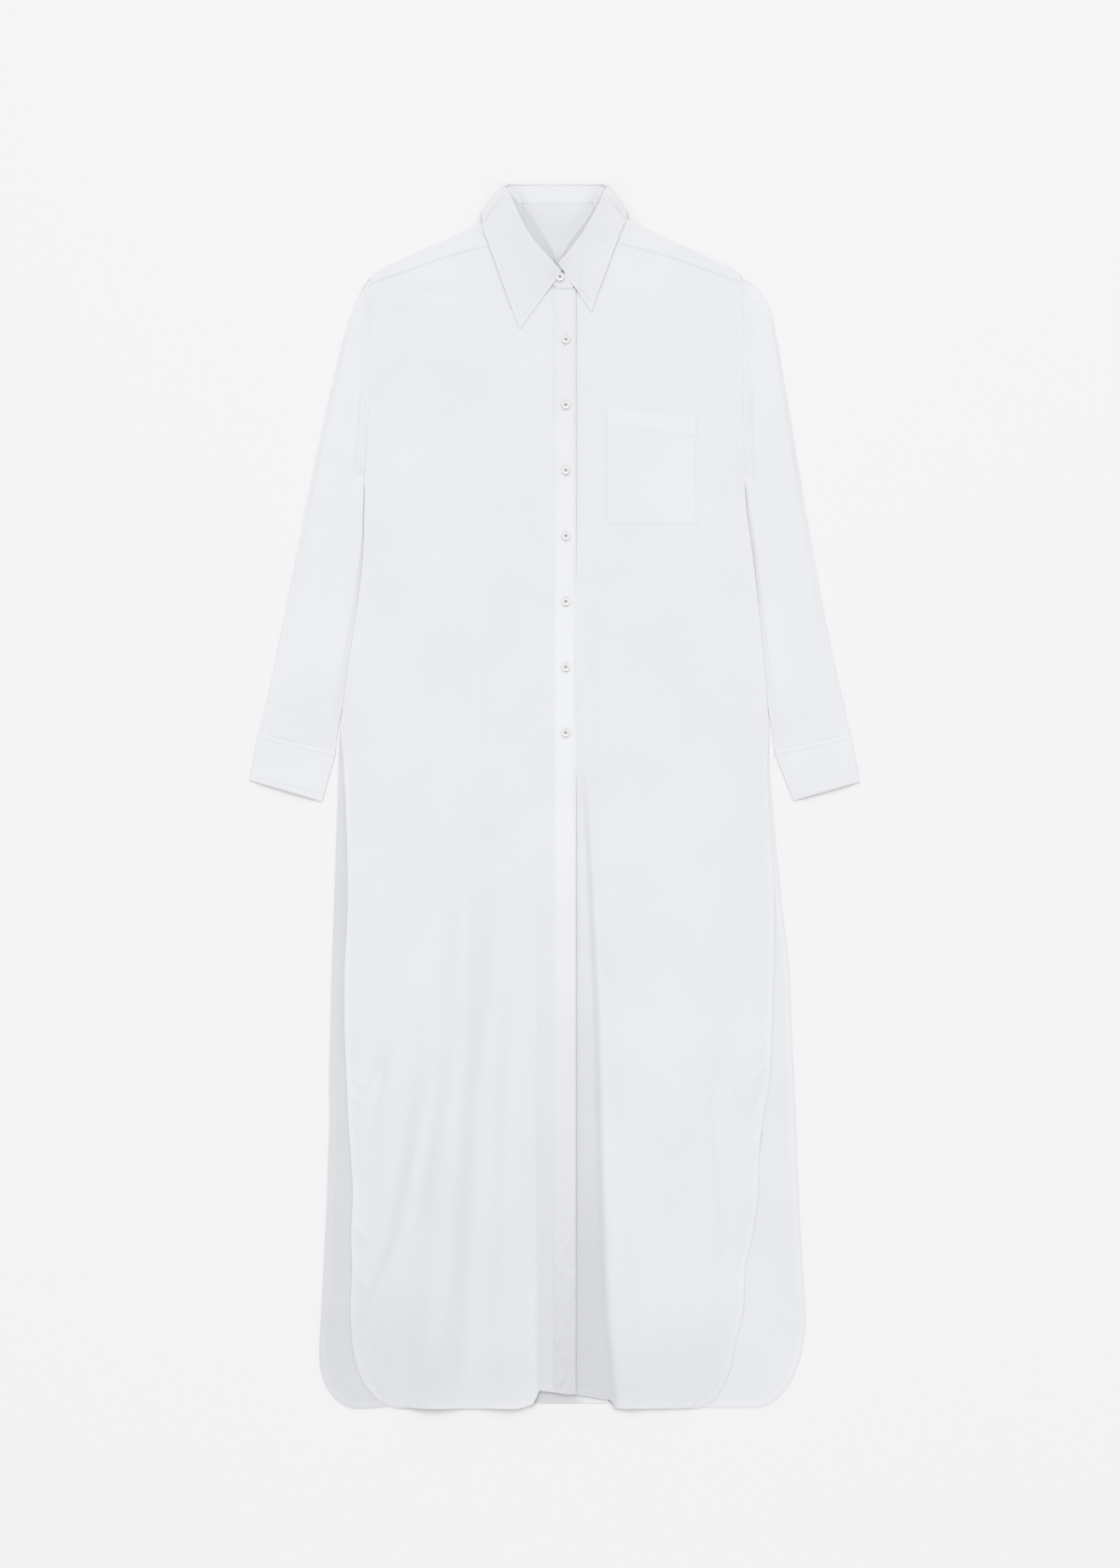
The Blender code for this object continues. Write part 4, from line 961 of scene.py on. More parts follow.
# the drop behind the neck: share of the leaf, way in from its outer plane, height
leafDrop = ((0.25, 0.0, 7.0), (0.42, 0.4, 2.6), (0.6, 4.1, 0.6), (0.8, 18.6, 0.6))
stand = {
    "wall": 0.5,
    "rows": 130,
    "columns": 10,
    "overPlacket": 0.15,
    "overFront": 0.5,
    "overYoke": 0.35,
    "onPlacket": 614.0,     # its seam lies on the placket up to here
    "onFront": 645.0,       # and on the front up to here
    "inShade": 0.56,        # painted shade inside the neck
    "shadeRows": ((625.0, 20.0), (711.0, -2.0)),
    # painted light on the stand at the nape
    "napeLight": 0.2,
    "napeRows": (710.0, 1.4),
}


def resample(rows, count):  # even steps along a table of numbers, by the length of its last points
    table = np.array(rows, dtype=float)
    step = np.linalg.norm(np.diff(table[:, :2], axis=0), axis=1) \
        + np.linalg.norm(np.diff(table[:, 3:5], axis=0), axis=1)
    knots = np.concatenate([[0.0], np.cumsum(step)])
    at = np.linspace(0.0, knots[-1], count)
    return flow(knots, table, at), at


def underLeaf(x, y):  # what a leaf lies on: a front, the yoke's front edge, the stand's front
    centre = dress["neckCentre"]
    base = np.where(x < centre, frontTop(-1, x, y), frontTop(1, x, y))
    onYoke = yoke["seamStep"] * ramp(y - yokeSeamAt(x), -collar["overYoke"], collar["overYoke"])
    onStand = ramp(y, *collar["standRows"]) * ramp(np.abs(x - centre), *collar["standColumns"])
    rise = collar["standTop"] - collar["standLow"]
    return base + onYoke + (collar["standLow"] + rise * ramp(x, centre, 10.0)) * onStand


def collarGrid():
    # every row starts inside the neck, goes round the rolled edge and on to the outer edge,
    # falling to the cloth; behind the neck it drops straight down and in under the yoke
    station = leftCollar + napeOfCollar + rightCollar[::-1]
    rows = [(*row[:5], row[5] or 0.0, row[6], row[5] is not None, min(k, len(station) - 1 - k))
            for k, row in enumerate(station)]
    table, along = resample(rows, collar["rows"])
    rollX, rollY, rollZ, edgeX, edgeY, edgeZ, under, free, fromTip = table.T
    under, free = np.clip(under, 0.0, 1.0), np.clip(free, 0.0, 1.0)[:, None]
    edgeZ, fromTip = edgeZ[:, None], fromTip[:, None]
    way = np.arctan2(edgeY - rollY, edgeX - rollX)
    way = np.where((rollX < dress["neckCentre"]) & (way < 0.0), way + 2 * math.pi, way)
    way = way + (math.pi / 2 - way) * under
    radius = collar["roll"]
    out = pointsOf(np.cos(way), np.sin(way), 0.0)[:, None]
    roll = pointsOf(rollX, rollY, rollZ)[:, None] + radius * out
    share = spread(*collar["columns"])
    plan = roll[..., :2] + (table[:, None, 3:5] - roll[..., :2]) * share[:, None]
    lift = collar["edgeLift"] * ramp(fromTip, 0.6, 3.0) * ramp(share, 0.0, 0.8)
    floor = underLeaf(plan[..., 0], plan[..., 1]) + collar["wall"] + collar["clear"] + lift
    floor = floor + (edgeZ - floor) * ramp(free, 0.0, 1.0)
    power = collar["fall"] + collar["tipFall"] * ramp(fromTip, 2.0, -2.0)
    fall = (1.0 - share) ** power * (1.0 - free) + (1.0 - share ** 1.4) * free
    height = floor + (rollZ[:, None] - floor) * fall
    over = np.concatenate([plan, height[..., None]], axis=2)
    rollY, outerY = roll[:, 0, 1], dress["halfLength"] - collar["behindY"]
    dropShare, dropIn, dropZ = np.array(leafDrop).T
    dropShare = np.array((0.0, 0.1, *dropShare, 1.0))
    ones = np.ones((len(table), 1))
    dropY = np.column_stack([rollY, np.maximum(rollY, outerY - 0.5), ones * (outerY - dropIn),
                             edgeY])
    dropZ = np.column_stack([rollZ, rollZ - 0.9, ones * dropZ, ones * dropZ[-1]])
    cell = np.clip(np.searchsorted(dropShare, share, side="right") - 1, 0, len(dropShare) - 2)
    t = (share - dropShare[cell]) / (dropShare[cell + 1] - dropShare[cell])
    behind = over.copy()
    behind[..., 1] = dropY[:, cell] * (1.0 - t) + dropY[:, cell + 1] * t
    behind[..., 2] = dropZ[:, cell] * (1.0 - t) + dropZ[:, cell + 1] * t
    leaf = over + (behind - over) * under[:, None, None]
    turn = np.radians((-70.0, -45.0, -20.0, 5.0, 30.0, 55.0, 75.0))[:, None]
    inside = roll + radius * (np.sin(turn) - 1.0) * (0.0, 0.0, 1.0) - radius * np.cos(turn) * out
    return np.concatenate([inside, leaf], axis=1)[::-1], along


def makeLeaf():  # its rows run from the right tip, so that the upper face is the outer one
    grid, along = collarGrid()
    run = np.cumsum(np.linalg.norm(np.diff(grid, axis=1, prepend=grid[:, :1]), axis=2), axis=1)
    uv = np.stack([along[:, None] * 0.5 + 0.0 * run, -run], axis=-1)
    clothPiece("collar_leaf", "collar_fall", grid, collar["wall"], placketPoplin,
               uv, doubled=collar["tone"])
    return grid


def standFoot(side, x, y):  # height of the stand's seam: on the placket, a front or the yoke
    if side < 0 and y < stand["onPlacket"]:
        return placketTop(side, x, np.minimum(y, dress["placketTop"])) + stand["overPlacket"]
    if y < stand["onFront"]:
        return frontTop(side, x, y) + stand["overFront"]
    return napeRaise(x, y) + napeInside(x, y) + yoke["wall"] + stand["overYoke"]


def makeStand():
    # straight columns from each place on its seam up to its top edge
    rows = []
    for side, table in ((-1, rightStand), (1, napeOfStand), (1, leftStand[::-1])):
        for x, y, *topEdge in table:
            rows.append((x, y, float(standFoot(side, np.array(x), np.array(y))), *topEdge))
    table, along = resample(rows, stand["rows"])
    share = np.linspace(0.0, 1.0, stand["columns"])
    low, top = table[:, None, :3], table[:, None, 3:6]
    grid = low + (top - low) * share[:, None]
    uv = pointsOf(along[:, None] * 0.5, 30.0 * share, 0.0)[..., :2]
    # tone: painted light at the nape and painted shade inside the neck
    y = table[:, 1:2]
    first, last = stand["shadeRows"]
    tone = collar["tone"] + stand["napeLight"] * ramp(y, *stand["napeRows"]) \
        - stand["inShade"] * ramp(y, *first) * ramp(y, *last)
    clothPiece("collar_stand_band", "collar_stand", grid, stand["wall"], placketPoplin,
               uv, doubled=tone)
    return grid


sleeveOuter = {
    "height": (76, 105, 194, 284, 373.5, 463, 508, 552.7, 597.5, 612, 622.5),
    "right": (-354.5, -347.2, -328.2, -310.2, -292.3, -273.3, -263.2, -252, -236.3, -228.8,
              -221.6),
    "left": (355, 348.3, 328.2, 311.4, 295.7, 281.1, 273.3, 265.4, 252, 240.5, 224),
}
# corners of each cuff in plan: seam outer, seam inner, end outer, end inner
cuffs = {
    "right": ((-354.9, 75.4), (-262.2, 52.9), (-366.2, 19.6), (-278.9, -6.2)),
    "left": ((355.4, 74.2), (263.4, 54.2), (366.2, 17.4), (286.7, -5.0)),
}
sleeve = {
    "height": 3.6,
    "edge": 1.3,
    "crown": (0.6, 2.6),
    "cuffCrown": 0.55,      # share of its crown that it loses towards the cuff
    "wall": 0.35,
    "gap": 0.12,
    "tuck": 2.4,            # its seam edge lies this far under the front
    "fell": 7.0,            # width of the felled seam
    "fellThick": 0.25,
    "cuffTuck": 3.5,
    "rings": 150,
    "columns": (46, 22),    # of its top and of its bottom
    "uneven": 0.6,
    "leaves": (110.0, -56.0),   # heights over which its inner edge leaves the body
    "flatRings": (0.88, 0.1),   # shares of its length where it flattens,
    "endRings": (0.984, 0.008),  # where it does at the cuff's seam,
    "slimRings": (0.975, 0.018),  # and where it narrows to go inside
    "slim": (0.8, 2.0),
    "flatten": (0.35, 0.36),
    "tone": 0.76,
}
cuff = {
    "height": 3.0,
    "edge": 1.6,
    "crown": 0.8,
    "wall": 0.5,
    "rings": (40, 0.5),
    "columns": (40, 16),
    "uneven": 0.35,
    "line": 0.22,
    "lineIn": 5.5,
    "tone": 0.66,
}
sleeveCreases = {
    "right": (
        (-229, 600, -240, 420, -2, 5.0, 1.0),
        (-238, 590, -247, 400, -2, 4.0, -1.1),
        (-229, 560, -236, 380, 0, 3.5, -0.9),
        (-246, 560, -262, 330, 2, 8.0, 0.8),
        (-250, 380, -290, 180, 4, 12.0, 0.7),
        (-262, 300, -276, 120, 2, 9.0, -0.8),
        (-300, 260, -330, 110, 3, 10.0, -0.5),
        (-318, 112, -325, 78, 0, 3.0, -0.7),
        (-296, 108, -301, 72, 0, 3.0, -0.7),
        (-276, 100, -279, 66, 0, 3.0, -0.5),
        (-238, 480, -243, 250, 0, 4.0, -0.8),
    ),
    "left": (
        (232, 598, 240, 500, 1, 4.0, -1.0),
        (236, 575, 243, 420, 2, 4.0, 0.8),
        (229, 560, 237, 380, 0, 3.5, -0.9),
        (232, 590, 246, 580, 0, 2.6, -0.9),
        (230, 578, 243, 566, 0, 2.4, 0.7),
        (250, 560, 268, 330, -2, 8.0, 0.7),
        (256, 380, 292, 180, -4, 12.0, 0.7),
        (262, 300, 278, 120, -2, 9.0, -0.8),
        (304, 260, 331, 110, -3, 10.0, -0.5),
        (318, 110, 324, 78, 0, 3.0, -0.7),
        (296, 105, 301, 70, 0, 3.0, -0.7),
        (276, 98, 280, 64, 0, 3.0, -0.5),
    ),
}


def flatTube(start, end, crown, shape, relief):
    # ring k lies between start[k] at low x and end[k] at high x: its top from low to high x, a
    # half circle, its bottom back again and a half circle; it is thin at its folded edges and
    # eases to its height over the next few millimetres, with a low crown between
    topCount, bottomCount = shape["columns"]
    top = spread(topCount, 0.6)
    bottom = np.linspace(1.0, 0.0, bottomCount)
    turn = np.radians((60.0, 30.0, 0.0, -30.0, -60.0))
    radius = shape["edge"] / 2.0
    across = end - start
    width = np.linalg.norm(across, axis=1)[:, None]
    near = radius / width
    shares = np.concatenate([near + (1 - 2 * near) * top, 1 - near + near * np.cos(turn),
                             near + (1 - 2 * near) * bottom, near - near * np.cos(turn)], axis=1)
    plan = start[:, None] + across[:, None] * shares[..., None]
    inward = np.minimum(top, 1.0 - top)
    upper = shape["edge"] + (shape["height"] - shape["edge"]) * ramp(inward * width, 0.0, 16.0) \
        + crown[:, None] * np.sin(math.pi * top) ** 0.8 \
        + relief(plan[:, :topCount, 0], plan[:, :topCount, 1]) * ramp(inward, 0.0, 0.06)
    ones = np.ones_like(near)
    heights = np.concatenate([upper, radius * (1.0 + np.sin(turn)) * ones, 0.0 * bottom * ones,
                              radius * (1.0 - np.sin(turn)) * ones], axis=1)
    return np.concatenate([plan, heights[..., None]], axis=2)


def sewTube(name, node, grid, shape, start, end, material):
    # its grain goes across the last ring; returns its upper side
    turn = math.atan2(end[-1][1] - start[-1][1], end[-1][0] - start[-1][0])
    clothPiece(name, node, grid, shape["wall"], material, uvTurn=turn,
               around=True, doubled=shape["tone"])
    return grid[:, :shape["columns"][0]]


def sleeveRings(side):
    # ring 0 is the armhole and follows the body's edge; the last ring is the cuff seam
    panel, gap = panels[side], side * sleeve["gap"]
    t = np.linspace(0.0, 1.0, sleeve["rings"])
    seamOut, seamIn = cuffs[words[side]][:2]
    armTop, armLow, tuck = dress["armholeTop"], dress["underarm"], sleeve["cuffTuck"]
    outerY = armTop + (seamOut[1] - tuck - armTop) * t ** 1.25
    outerX = flow(sleeveOuter["height"], sleeveOuter[words[side]], outerY)
    outerX[0] = sideEdge(panel, armTop) + gap
    innerY = armLow + (seamIn[1] - tuck - armLow) * t
    beside = sideEdge(panel, innerY) + gap
    innerX = beside + (seamIn[0] - beside) * ramp(innerY, *sleeve["leaves"])
    inside = ramp(t, *sleeve["slimRings"])
    outer = np.column_stack([outerX - side * sleeve["slim"][0] * inside, outerY])
    inner = np.column_stack([innerX + side * sleeve["slim"][1] * inside, innerY])
    low, high = sleeve["crown"]
    crown = (low + (high - low) * ramp(t, 0.0, 0.3)) \
        * (1.0 - sleeve["cuffCrown"] * ramp(t, 0.8, 0.2))
    return (inner, outer, crown, t) if side > 0 else (outer, inner, crown, t)


def makeSleeve(side):
    # the tube of its rings; near the armhole their ends bow out to the body's curved edge
    panel = panels[side]
    start, end, crown, t = sleeveRings(side)

    def relief(x, y):
        return creaseHeight(sleeveCreases[words[side]], x, y) \
            + sleeve["uneven"] * unevenness(x * 1.7, y)

    grid = flatTube(start, end, crown, sleeve, relief)
    t = t[:, None]
    armTop, armLow = dress["armholeTop"], dress["underarm"]
    first, last = (start[0], end[0]) if side < 0 else (end[0], start[0])
    share = np.clip((armTop - grid[..., 1]) / (armTop - armLow), 0.0, 1.0)
    line = first[0] + (last[0] - first[0]) * share
    bow = sideEdge(panel, grid[..., 1]) + side * sleeve["gap"] - line
    fade = (1.0 - t) ** 8
    grid[..., 0] += bow * np.where(fade > 0.01, fade, 0.0)

    # at the armhole its top comes down to the front's edge and lies under it, with the felled
    # seam as a low band; at the cuff it flattens and goes inside
    upper = grid[:, :sleeve["columns"][0]]
    x, y = upper[..., 0], upper[..., 1]
    away = side * (x - sideEdge(panel, y))
    edgeX = sideEdge(panel, y) - side * 0.3
    underFront = frontTop(side, edgeX, np.minimum(y, yokeSeamAt(edgeX))) - 0.5
    sewn = ramp(y, armLow - 6.0, 24.0) * ramp(away, 15.0, -15.0)
    band = sleeve["fellThick"] * ramp(away, 0.2, 0.8) * ramp(away, sleeve["fell"] + 1.2, -1.2) \
        - 0.5 * bell(away - 9.5, 2.6)
    upper[..., 2] += (underFront - upper[..., 2]) * sewn + band * ramp(y, armLow - 6.0, 12.0)
    tuck = (sleeve["tuck"] + sleeve["gap"]) * ramp(t, 0.012, -0.012)
    grid[..., 0] -= side * tuck * ramp(grid[..., 1], armLow - 4.0, 8.0)
    early, late = sleeve["flatten"]
    nearCuff = ramp(t, *sleeve["endRings"])
    grid[..., 2] *= (1.0 - early * ramp(t, *sleeve["flatRings"])) * (1.0 - late * nearCuff)
    grid[..., 2] += 0.5 * nearCuff
    return sewTube("sleeve_%s_tube" % words[side], "sleeve_" + words[side], grid, sleeve, start,
                   end, poplin)


def makeCuff(side):
    # rings are shares of the way from the seam to the end, each between outer and inner corner
    seamOut, seamIn, endOut, endIn = [np.array(p) for p in cuffs[words[side]]]
    t = spread(*cuff["rings"])[:, None]
    outer, inner = seamOut + (endOut - seamOut) * t, seamIn + (endIn - seamIn) * t
    start, end = (inner, outer) if side > 0 else (outer, inner)
    length = float(np.linalg.norm(endOut - seamOut))
    toEnd = length * np.minimum(t, 1.0 - t)

    def relief(x, y):  # soft ends, and a sunk stitch line along both
        return cuff["uneven"] * unevenness(x * 2.0, y * 2.0) - 0.5 * bell(toEnd, 0.9) \
            - cuff["line"] * bell(toEnd - cuff["lineIn"], 0.9)

    grid = flatTube(start, end, cuff["crown"] + 0.0 * t[:, 0], cuff, relief)
    return sewTube("cuff_%s_band" % words[side], "cuff_" + words[side], grid, cuff, start, end,
                   placketPoplin)


button = {
    "width": 10.2,
    "height": 2.2,
    "x": 13.6,
    "first": 548.2,
    "pitch": 78.6,
    "count": 7,
    "collar": (6.5, 622.8),
    "over": (0.25, 0.7),    # over the placket, and over the collar stand
    "holeAt": 0.972,
    "holeHalf": 0.45,
    "holeDeep": 0.75,
    "dish": 0.35,
    "face": (0.02, 0.1, 0.16, 0.2, 0.24, 0.28, 0.32, 0.36, 0.41, 0.46, 0.54, 0.62, 0.7),
    "rim": ((0.76, 0.0), (0.84, 0.35), (0.92, 0.4), (0.97, 0.2), (1.0, -0.35), (0.96, -0.9),
            (0.8, -1.4), (0.5, -1.5), (0.02, -1.5)),
    "turns": 48,
}


def pearlMaterial():
    # pressed shell-like polyester: pale cream with soft clouds and a bright polish
    material, tree, shader = newMaterial("pearly polyester button", {
        "Roughness": 0.22, "Coat Weight": 0.4, "Coat Roughness": 0.1})
    place = addNode(tree, "ShaderNodeTexCoord")
    clouds = addNode(tree, "ShaderNodeTexNoise", {"Scale": 420.0, "Detail": 2.0,
                                                  "Distortion": 1.2},
                     {"Vector": place.outputs["Object"]})
    tone = addNode(tree, "ShaderNodeMix", {"data_type": "RGBA", 6: (*linear("#dbd9d5"), 1.0),
                                           7: (*linear("#ecebe8"), 1.0)},
                   {0: clouds.outputs["Fac"]})
    tree.links.new(tone.outputs[2], shader.inputs["Base Color"])
    return material


pearl = pearlMaterial()


def makeButton(name, x, y, z, node):
    # turned disc: radius and height along its profile, swept round; the face dips at its dish
    # and sinks in four round holes
    face = np.array(button["face"])
    rimRadius, rimHeight = np.array(button["rim"]).T
    turn = np.arange(button["turns"]) * 2.0 * math.pi / button["turns"]
    radius = button["width"] / 2.0 * np.concatenate([face, rimRadius])[:, None]
    px, py = radius * np.cos(turn), radius * np.sin(turn)
    pz = np.concatenate([0.0 * face - button["dish"], rimHeight])[:, None] + 0.0 * px
    dish = slice(0, len(face))
    for holeX, holeY in ((-1, -1), (-1, 1), (1, -1), (1, 1)):
        away = np.hypot(px[dish] - holeX * button["holeAt"], py[dish] - holeY * button["holeAt"])
        pz[dish] -= button["holeDeep"] * ramp(away, button["holeHalf"] + 0.3, -0.3)
    top = button["height"] - rimHeight.max()
    grid = pointsOf(px + x, py + y, pz + z + top)
    number = closeRound(np.arange(px.size).reshape(px.shape))
    faces = cornersOf(number).reshape(-1, 4).tolist()
    caps = [number[0, :-1].tolist(), number[-1, :-1][::-1].tolist()]
    piece = putMesh(name, grid, faces + caps, pearl, cut=None, sharp=50)
    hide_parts(node)


def makeButtons(standGrid):
    # seven down the placket at an even pitch and one on the collar stand; returns their places
    places = []
    for k in range(button["count"]):
        x, y = button["x"], button["first"] - button["pitch"] * k
        places.append((x, y, float(placketTop(-1, np.array(x), np.array(y))) + button["over"][0]))
        makeButton("pearl_button_%d" % (k + 1), *places[-1], "front_button_%d" % (k + 1))
    x, y = button["collar"]
    near = np.hypot(standGrid[..., 0] - x, standGrid[..., 1] - y) < 4.0
    places.append((x, y, float(standGrid[near][:, 2].max()) + button["over"][1]))
    makeButton("pearl_button_collar", *places[-1], "collar_button")
    return places


stitch = {
    "pitch": 2.6,           # ten stitches to the inch
    "size": (2.0, 0.5, 0.3),
    "above": 0.04,
    "hem": 7.2,             # its line from the edge
    "collar": 6.0,
    "collarTo": 693.0,      # highest place of the collar's lines
    "tipRows": 30,          # rows of a leaf that hold its front line
    "standTo": 612.5,       # highest place of the line on the stand
    "rolled": 7,            # columns of the leaf inside the neck
    "fell": (1.2, 6.0),
    "cuff": 5.5,
    "yokeIn": 0.9,
    "yoke": (62.0, 218.0),  # its line starts and ends this far from the neck's centre
    "bar": (0.5, 1.5, 0.45, 0.3),  # pitch and size of a buttonhole's satin stitches
    "holeHalf": 6.4,
    "lip": 0.75,            # from the middle of a buttonhole to its bars
    "sunk": 0.62,           # thread below a button's rim
    "strand": (3.4, 0.42, 0.5),
    "strands": (-1.35, -1.05, -0.75, 0.75, 1.05, 1.35),
}


def alongLine(line, pitch=stitch["pitch"]):
    # middles and directions of stitches that follow one another along a line of points
    run = np.concatenate([[0.0], np.cumsum(np.linalg.norm(np.diff(line, axis=0), axis=1))])
    at = np.arange(pitch / 2.0, run[-1], pitch)
    here, ahead, behind = (np.stack([np.interp(at + step, run, line[:, k]) for k in range(3)],
                                    axis=1) for step in (0.0, 0.5, -0.5))
    return here, ahead - behind


def stitchMesh(name, runs, size, material):
    # each stitch is a spindle: four points round each of three rings, and a point at both ends
    centre, tangent = (np.concatenate([run[k] for run in runs]) for k in (0, 1))
    tangent = tangent / np.linalg.norm(tangent, axis=1, keepdims=True)
    across = np.cross(tangent, (0.0, 0.0, 1.0))
    across = across / np.linalg.norm(across, axis=1, keepdims=True)
    up = np.cross(across, tangent)
    ring, ringUp = np.array(((1.0, 0.0, -1.0, 0.0), (0.0, 1.0, 0.0, -1.0)))
    lengths = np.repeat((-0.5, -0.34, 0.0, 0.34, 0.5), (1, 4, 4, 4, 1)) * size[0]
    sides = np.concatenate([[0.0], ring * 0.8, ring, ring * 0.8, [0.0]]) * size[1] / 2
    ups = np.concatenate([[-0.6], ringUp * 0.7, ringUp, ringUp * 0.7, [-0.6]]) * size[2] / 2
    points = centre[:, None] + tangent[:, None] * lengths[:, None] \
        + across[:, None] * sides[:, None] + up[:, None] * ups[:, None]
    k = np.arange(4)
    n = (k + 1) % 4
    quads = np.concatenate([np.stack([r + k, r + n, r + 4 + n, r + 4 + k], axis=1)
                            for r in (1, 5)])
    caps = np.concatenate([np.stack([0 * k, 1 + n, 1 + k], axis=1),
                           np.stack([0 * k + 13, 9 + k, 9 + n], axis=1)])
    offset = np.arange(len(centre))[:, None, None] * len(lengths)
    quads, caps = ((part[None] + offset).reshape(-1, part.shape[1]) for part in (quads, caps))
    putMesh(name, points, quads.tolist() + caps.tolist(), material)


def topstitch(name, lines):  # even stitches along each line
    stitchMesh(name, [alongLine(line) for line in lines], stitch["size"], thread)


def above(x, y, z):  # a line of points just above a face
    return pointsOf(x, y, z + stitch["above"])


def insetLine(line, inset):  # the same line moved to its inner side, left of its own way
    way = np.gradient(line, axis=0)
    way = way / np.maximum(np.linalg.norm(way, axis=1, keepdims=True), tiny)
    return line + inset * np.stack([-way[:, 1], way[:, 0]], axis=1)


def crossing(grid, measure, value, axis):
    # first place down the rows, or along the columns, where a measure passes a value
    if axis == 1:
        grid, measure = grid.transpose(1, 0, 2), measure.T
    passed = measure >= value
    row = passed.argmax(axis=0)
    column = np.flatnonzero((row > 0) & passed.any(axis=0))
    row = row[column]
    before, after = measure[row - 1, column], measure[row, column]
    t = ((value - before) / np.maximum(after - before, tiny))[:, None]
    points = grid[row - 1, column] * (1.0 - t) + grid[row, column] * t
    return points + (0.0, 0.0, stitch["above"])


def sewBody():
    # hems, yoke seam, placket and pocket: lines at a set way in from each edge
    lines = []
    for side in (-1, 1):
        x, y = insetLine(hemLines[side][::-side], stitch["hem"]).T
        lines.append(above(x, y, frontTop(side, x, y)))
        x = dress["neckCentre"] + side * np.linspace(*stitch["yoke"], 60)
        y = yokeSeamAt(x) + stitch["yokeIn"]
        lines.append(above(x, y, frontTop(side, x, y) + yoke["seamStep"]))
    x, y = insetLine(hemLines["back"], stitch["hem"]).T
    lines.append(above(x, y, backTop(x, y)))
    down = np.linspace(dress["placketTop"] - 1.5, -734.0, 700)
    for x in (dress["placketLeft"] + placket["stitchIn"],
              dress["placketRight"] - placket["stitchIn"]):
        x, y = x + 0.0 * down, hemY(-1, x, down)
        lines.append(above(x, y, placketTop(-1, x, y)))

    # down the pocket's one side, along its bottom and up the other side, and across its mouth
    inset, bottom = pocket["stitchIn"], pocket["bottom"] + pocket["stitchIn"]
    low, high = pocket["x"][0] + inset, pocket["x"][1] - inset
    lowMouth, highMouth = (pocketMouth(x) for x in pocket["x"])
    share = np.linspace(0.0, 1.0, 30)
    across = low + (high - low) * share
    x = np.concatenate([0 * share + low, across[1:], 0 * share[1:] + high])
    y = np.concatenate([lowMouth - (lowMouth - bottom) * share, 0 * share[1:] + bottom,
                        (bottom + (highMouth - bottom) * share)[1:]])
    lines.append(above(x, y, pocketTop(x, y)))
    y = pocketMouth(across) - pocket["mouthHem"] + 1.2
    lines.append(above(across, y, pocketTop(across, y)))
    topstitch("topstitching_body", lines)


def sewCollar(leaf, standGrid):
    # a line along the front and outer edge of both leaves, and one on the stand's front end
    rolled, tip = stitch["rolled"], stitch["tipRows"]
    edge = np.concatenate([leaf[0, rolled:, :2], leaf[1:, -1, :2], leaf[-1, rolled:, :2][::-1]])
    grid = leaf[:, rolled:]
    distance = nearLine(grid[..., 0], grid[..., 1], edge)[0]
    half = len(grid) // 2
    lines = []
    for way in (1, -1):
        part, measure = grid[::way][:half], distance[::way][:half]
        reach = part[:, -1, 1] < stitch["collarTo"]
        part, measure = part[reach], measure[reach]
        lines.append(crossing(part[:tip], measure[:tip], stitch["collar"], 0))
        lines.append(crossing(part[:, ::-1], measure[:, ::-1], stitch["collar"], 1))
    end = standGrid[standGrid[:, 0, 1] < stitch["standTo"]]
    lines.append(end[:, 0] * 0.4 + end[:, 1] * 0.6 + (0.0, 0.0, 0.56))
    topstitch("topstitching_collar", lines)


def sewSleeve(side, top, cuffTop):
    # both rows of the felled armhole seam, and a row near each end of the cuff
    away = side * (top[..., 0] - sideEdge(panels[side], top[..., 1]))
    away = np.where(top[..., 1] > dress["underarm"] + 4.0, away, -1.0)
    lines = [crossing(top, away, inset, 0) for inset in stitch["fell"]]
    down = np.linalg.norm(cuffTop - cuffTop[:1], axis=2)
    for inset in (stitch["cuff"], float(down[-1, 0]) - stitch["cuff"]):
        lines.append(crossing(cuffTop, down, inset, 0))
    topstitch("topstitching_sleeve_" + words[side], lines)


def sewButtonholes(buttonPlaces):
    # satin bars on both lips of each upright buttonhole, and thread through the four holes
    pitch, *size = stitch["bar"]
    bars, strands = [], []
    for k, (x, y, z) in enumerate(buttonPlaces):
        if k < button["count"]:
            at = y + np.arange(-stitch["holeHalf"], stitch["holeHalf"], pitch)
            for lip in (x - stitch["lip"], x + stitch["lip"]):
                line = above(lip, at, placketTop(-1, lip + 0.0 * at, at))
                bars.append((line, np.tile((1.0, 0.0, 0.0), (len(line), 1))))
        top = z + button["height"] - stitch["sunk"]
        for across in stitch["strands"]:
            strands.append((np.array([[x + across, y, top]]), np.array([[0.0, 1.0, 0.0]])))
    stitchMesh("buttonhole_bars", bars, size, thread)
    stitchMesh("button_thread", strands, stitch["strand"], buttonThread)


stage = {
    "half": 6.0,            # metres
    "drop": 0.0003,
    "colour": "#e6e6e6",
    "roughness": 0.9,
}


def makeStage():
    # one wide square, just under the cloth
    half, low = stage["half"], -stage["drop"]
    mesh = bpy.data.meshes.new("pale_floor")
    mesh.from_pydata([(-half, -half, low), (half, -half, low), (half, half, low),
                      (-half, half, low)], [], [(0, 1, 2, 3)])
    mesh.materials.append(newMaterial("matt white paper floor", {
        "Base Color": (*linear(stage["colour"]), 1.0), "Roughness": stage["roughness"]})[0])
    putObject("pale_floor", mesh)


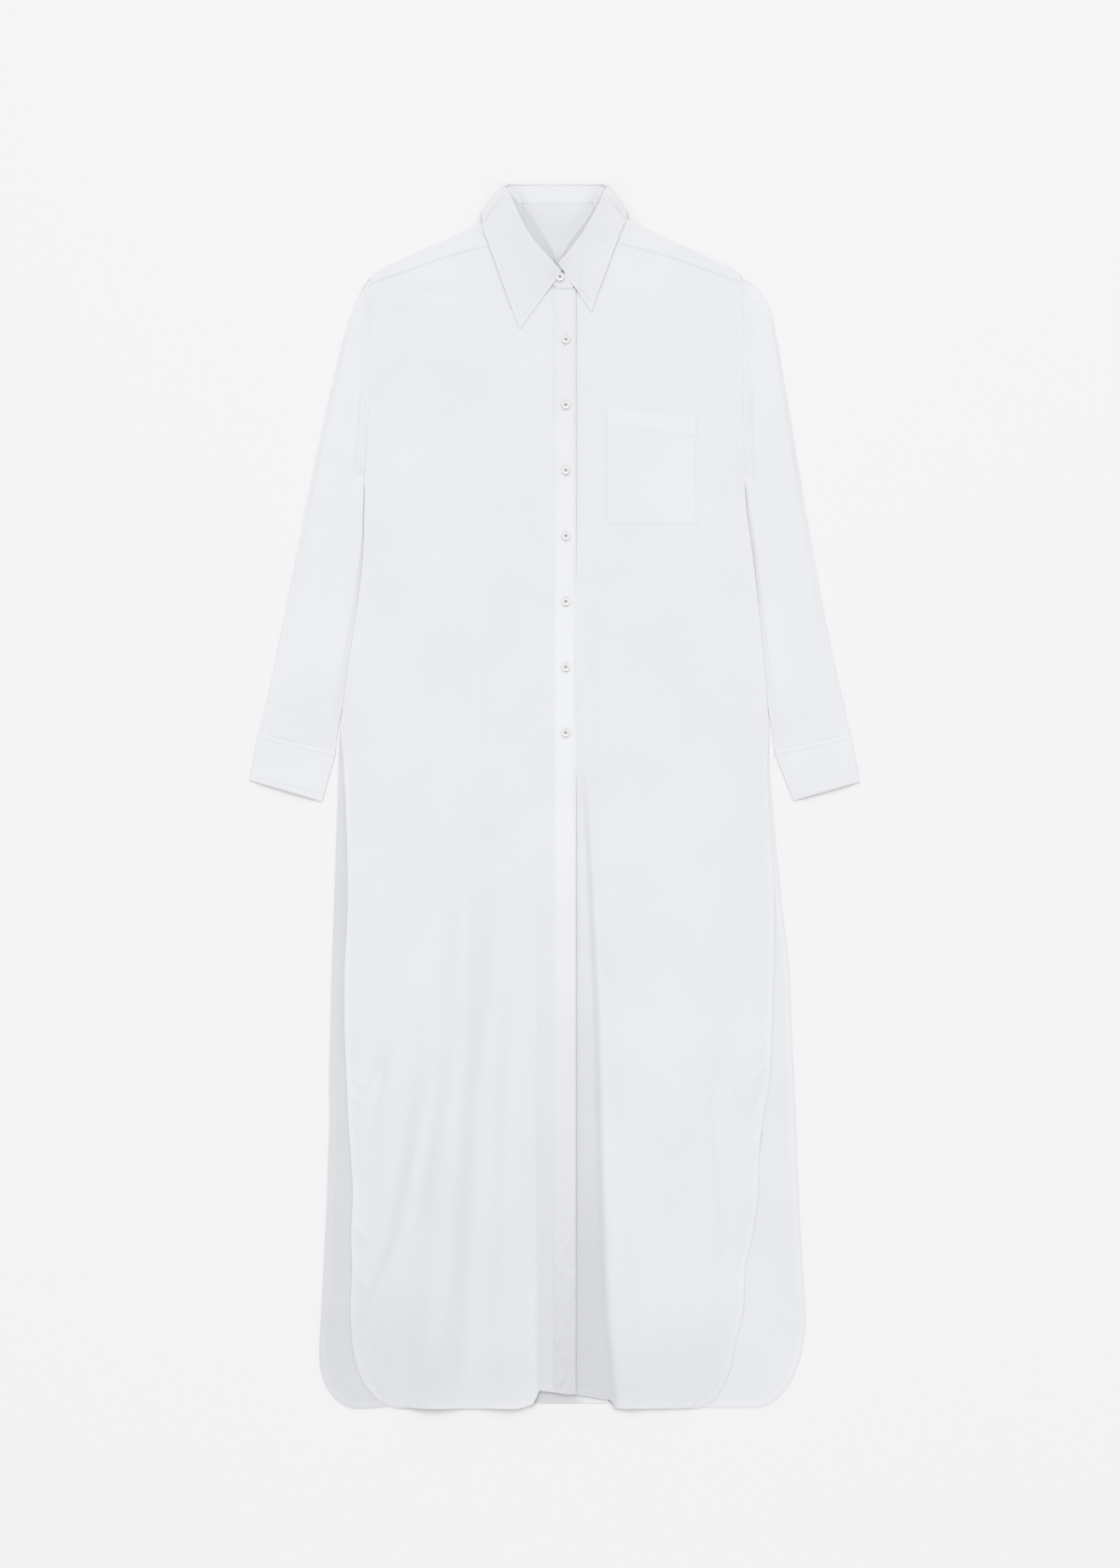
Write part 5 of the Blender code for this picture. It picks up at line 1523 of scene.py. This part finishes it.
light = {
    "key": 1.39,            # far softbox above the head end, its angle wide
    "keyAngle": 70.0,
    "keyHeight": 66.0,
    "keyFrom": 93.0,        # degrees round from +X
    "near": 5.0,            # a nearer one over the neck, so that the hem is a little darker
    "nearSize": 1.6,
    "nearPlace": (0.1, 1.5, 2.8),
    "nearLean": -24.0,
    "room": 0.70,
}


def makeLights():
    # one far, broad softbox, a nearer one and an even white room
    lamp = bpy.data.lights.new("key softbox", "SUN")
    lamp.energy = light["key"]
    lamp.angle = math.radians(light["keyAngle"])
    lean, turn = math.radians(90.0 - light["keyHeight"]), math.radians(light["keyFrom"] + 90.0)
    putObject("key softbox", lamp).rotation_euler = (lean, 0.0, turn)
    lamp = bpy.data.lights.new("near softbox", "AREA")
    lamp.energy = light["near"]
    lamp.size = light["nearSize"]
    holder = putObject("near softbox", lamp)
    holder.location = light["nearPlace"]
    holder.rotation_euler = (math.radians(light["nearLean"]), 0.0, 0.0)
    world = bpy.data.worlds.new("soft studio")
    world.use_nodes = True
    background = world.node_tree.nodes["Background"]
    background.inputs["Color"].default_value = (1.0, 1.0, 1.0, 1.0)
    background.inputs["Strength"].default_value = light["room"]
    bpy.context.scene.world = world
    bpy.context.scene.view_settings.view_transform = "Standard"


view = {
    "centre": (6.7, 15.1),
    "height": 5227.0,
    "lens": 100.0,
    "sensor": 36.0,
    "farthest": 50.0,       # metres
}


def makeCamera():
    # straight above the middle, looking down
    lens = bpy.data.cameras.new("copy stand")
    lens.lens = view["lens"]
    lens.sensor_width = view["sensor"]
    lens.clip_end = view["farthest"]
    camera = putObject("copy stand", lens)
    camera.location = (*(centre * metre for centre in view["centre"]), view["height"] * metre)
    bpy.context.scene.camera = camera


makeStage()
makeLights()
makeCamera()
print("stage, light and camera set")
makeBack()
for side in (-1, 1):
    makeFront(side)
print("body cut")
for side in (-1, 1):
    makePlacket(side)
makePocket()
makeYoke()
leaf = makeLeaf()
standGrid = makeStand()
print("yoke, placket, pocket and collar sewn")
for side in (-1, 1):
    sleeveTop = makeSleeve(side)
    sewSleeve(side, sleeveTop, makeCuff(side))
print("sleeves and cuffs sewn")
sewBody()
sewCollar(leaf, standGrid)
print("topstitched")
sewButtonholes(makeButtons(standGrid))
print("buttons sewn on")
